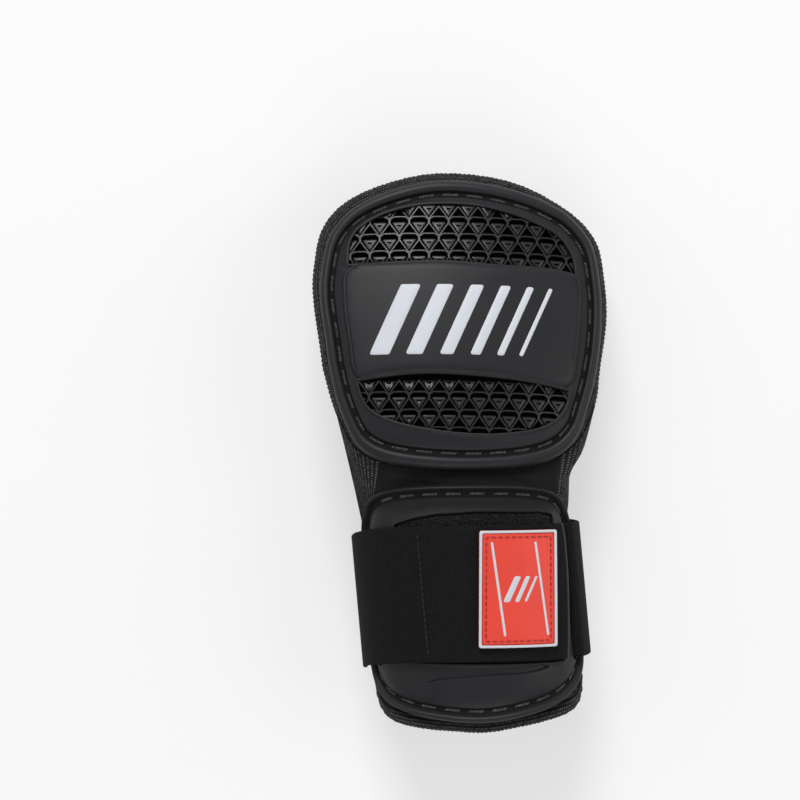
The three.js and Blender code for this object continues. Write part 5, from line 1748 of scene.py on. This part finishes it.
class GUARD_OT_stitches(PieceOperator, bpy.types.Operator):
    """Build the stitches in the shells' grooves, on the strap and on the label"""

    bl_idname = "guard.stitches"
    bl_label = "Stitches"

    def execute(self, context):
        s = context.scene.guard
        thread = material("Groove thread")
        line = spaced(offset(HAND_LOOP, BEAD_WIDTH + GROOVE_WIDTH / 2, RIM_SIDE_SHARE), 0.8)
        gone = lengths_along(line, True)[-1]
        groups = int(round(gone / s.stitch_pitch))
        groove_stitches("hand_groove_stitches", line, True, groups, gone / groups, 0, s.stitch_group,
                        GROOVE_WIDTH * 0.5, SHELL_SEAT + GROOVE_FLOOR, hand_place, "hand", thread, 3)
        inset = bead_inset(WRIST_BEAD + WRIST_GROOVE / 2, WRIST_LOOP[:, 1])[:, None]
        line = spaced(offset(WRIST_LOOP, inset), 0.8)
        bare = depth_in(line, rounded_band(-60, 60, STRAP_BOTTOM - 2, STRAP_TOP + 2, 1)) > 0
        for k, part in enumerate(np.split(np.arange(len(line)), np.flatnonzero(np.diff(bare.astype(int))) + 1)):
            if bare[part[0]] or len(part) < 8:
                continue
            groups = int(lengths_along(line[part])[-1] / s.stitch_pitch)
            groove_stitches(f"wrist_groove_stitches_{k}", line[part], False, groups, s.stitch_pitch, 2,
                            s.stitch_group, STITCH_GROOVE[1] * 0.52, WRIST_SHELL_TOP - WRIST_GROOVE_DEPTH,
                            wrist_place, "wrist", thread, 5 + k)
        line = np.column_stack([np.full(40, -18.5), np.linspace(STRAP_BOTTOM + 3, STRAP_TOP - 3, 40)])
        seam_stitches("strap_stitches_0", line, False, s.seam_step, 0.8, 0.24, STRAP_THICKNESS - 0.1, flap_place,
                      material("Seam thread"), 21)
        seam_stitches("label_stitches", label_box(LABEL_BORDER + 1.5, 0.8), True, s.seam_step, 0.72, 0.26,
                      LABEL_FACE - 0.06, label_place, material("Label thread"), 41)
        return {"FINISHED"}


class GUARD_OT_stage(PieceOperator, bpy.types.Operator):
    """Set up the floor, the studio lights and the camera"""

    bl_idname = "guard.stage"
    bl_label = "Stage"

    def execute(self, context):
        scene = context.scene
        corners = [(x * FLOOR_SPAN, y * FLOOR_SPAN, -0.0002) for x, y in ((-1, -1), (1, -1), (1, 1), (-1, 1))]
        objects = [make_object("floor", corners, [(0, 1, 2, 3)], floor_material())]
        for name, spot, size, power in LIGHTS:
            data = bpy.data.lights.new(name, "AREA")
            data.shape, data.size, data.energy = "SQUARE", size, power
            lamp = linked(name, data)
            lamp.location = spot
            x, y, z = -np.array(spot) + (0, 0, 0.04)  # towards the guard
            lamp.rotation_euler = (math.atan2(math.hypot(x, y), -z), 0, math.atan2(y, x) - math.pi / 2)
            objects.append(lamp)
        world = bpy.data.worlds.new("Studio")
        world.use_nodes = True
        sky = world.node_tree.nodes["Background"].inputs
        sky["Color"].default_value, sky["Strength"].default_value = (1, 1, 1, 1), 0.3
        scene.world = world
        data = bpy.data.cameras.new("camera")
        data.type, data.sensor_width, data.lens = "PERSP", 36, 100
        data.clip_start, data.clip_end = 0.01, 20
        camera = linked("camera", data)
        camera.location = CAMERA_PLACE
        scene.camera = camera
        scene.view_settings.view_transform = "Standard"
        return {"FINISHED"}


class GUARD_PT_panel(bpy.types.Panel):
    """Lists the guard's settings and operators"""

    bl_label = "Batting hand protector"
    bl_idname = "GUARD_PT_panel"
    bl_space_type = "VIEW_3D"
    bl_region_type = "UI"
    bl_category = "Guard"

    def draw(self, context):
        for key in GuardSettings.__annotations__:
            self.layout.prop(context.scene.guard, key)
        for operator in OPERATORS:
            self.layout.operator(operator.bl_idname)


OPERATORS = (
    GUARD_OT_hand_shell, GUARD_OT_lattice, GUARD_OT_hand_pad, GUARD_OT_finger_loops, GUARD_OT_neck,
    GUARD_OT_wrist_shell, GUARD_OT_wrist_pad, GUARD_OT_strap, GUARD_OT_label, GUARD_OT_stitches, GUARD_OT_stage,
)
CLASSES = (GuardSettings, *OPERATORS, GUARD_PT_panel)


def register():
    for cls in CLASSES:
        bpy.utils.register_class(cls)
    bpy.types.Scene.guard = PointerProperty(type=GuardSettings)


def unregister():
    del bpy.types.Scene.guard
    for cls in reversed(CLASSES):
        bpy.utils.unregister_class(cls)


def main():
    register()
    for operator in OPERATORS:
        group, name = operator.bl_idname.split(".")
        getattr(getattr(bpy.ops, group), name)()


if __name__ == "__main__":
    main()
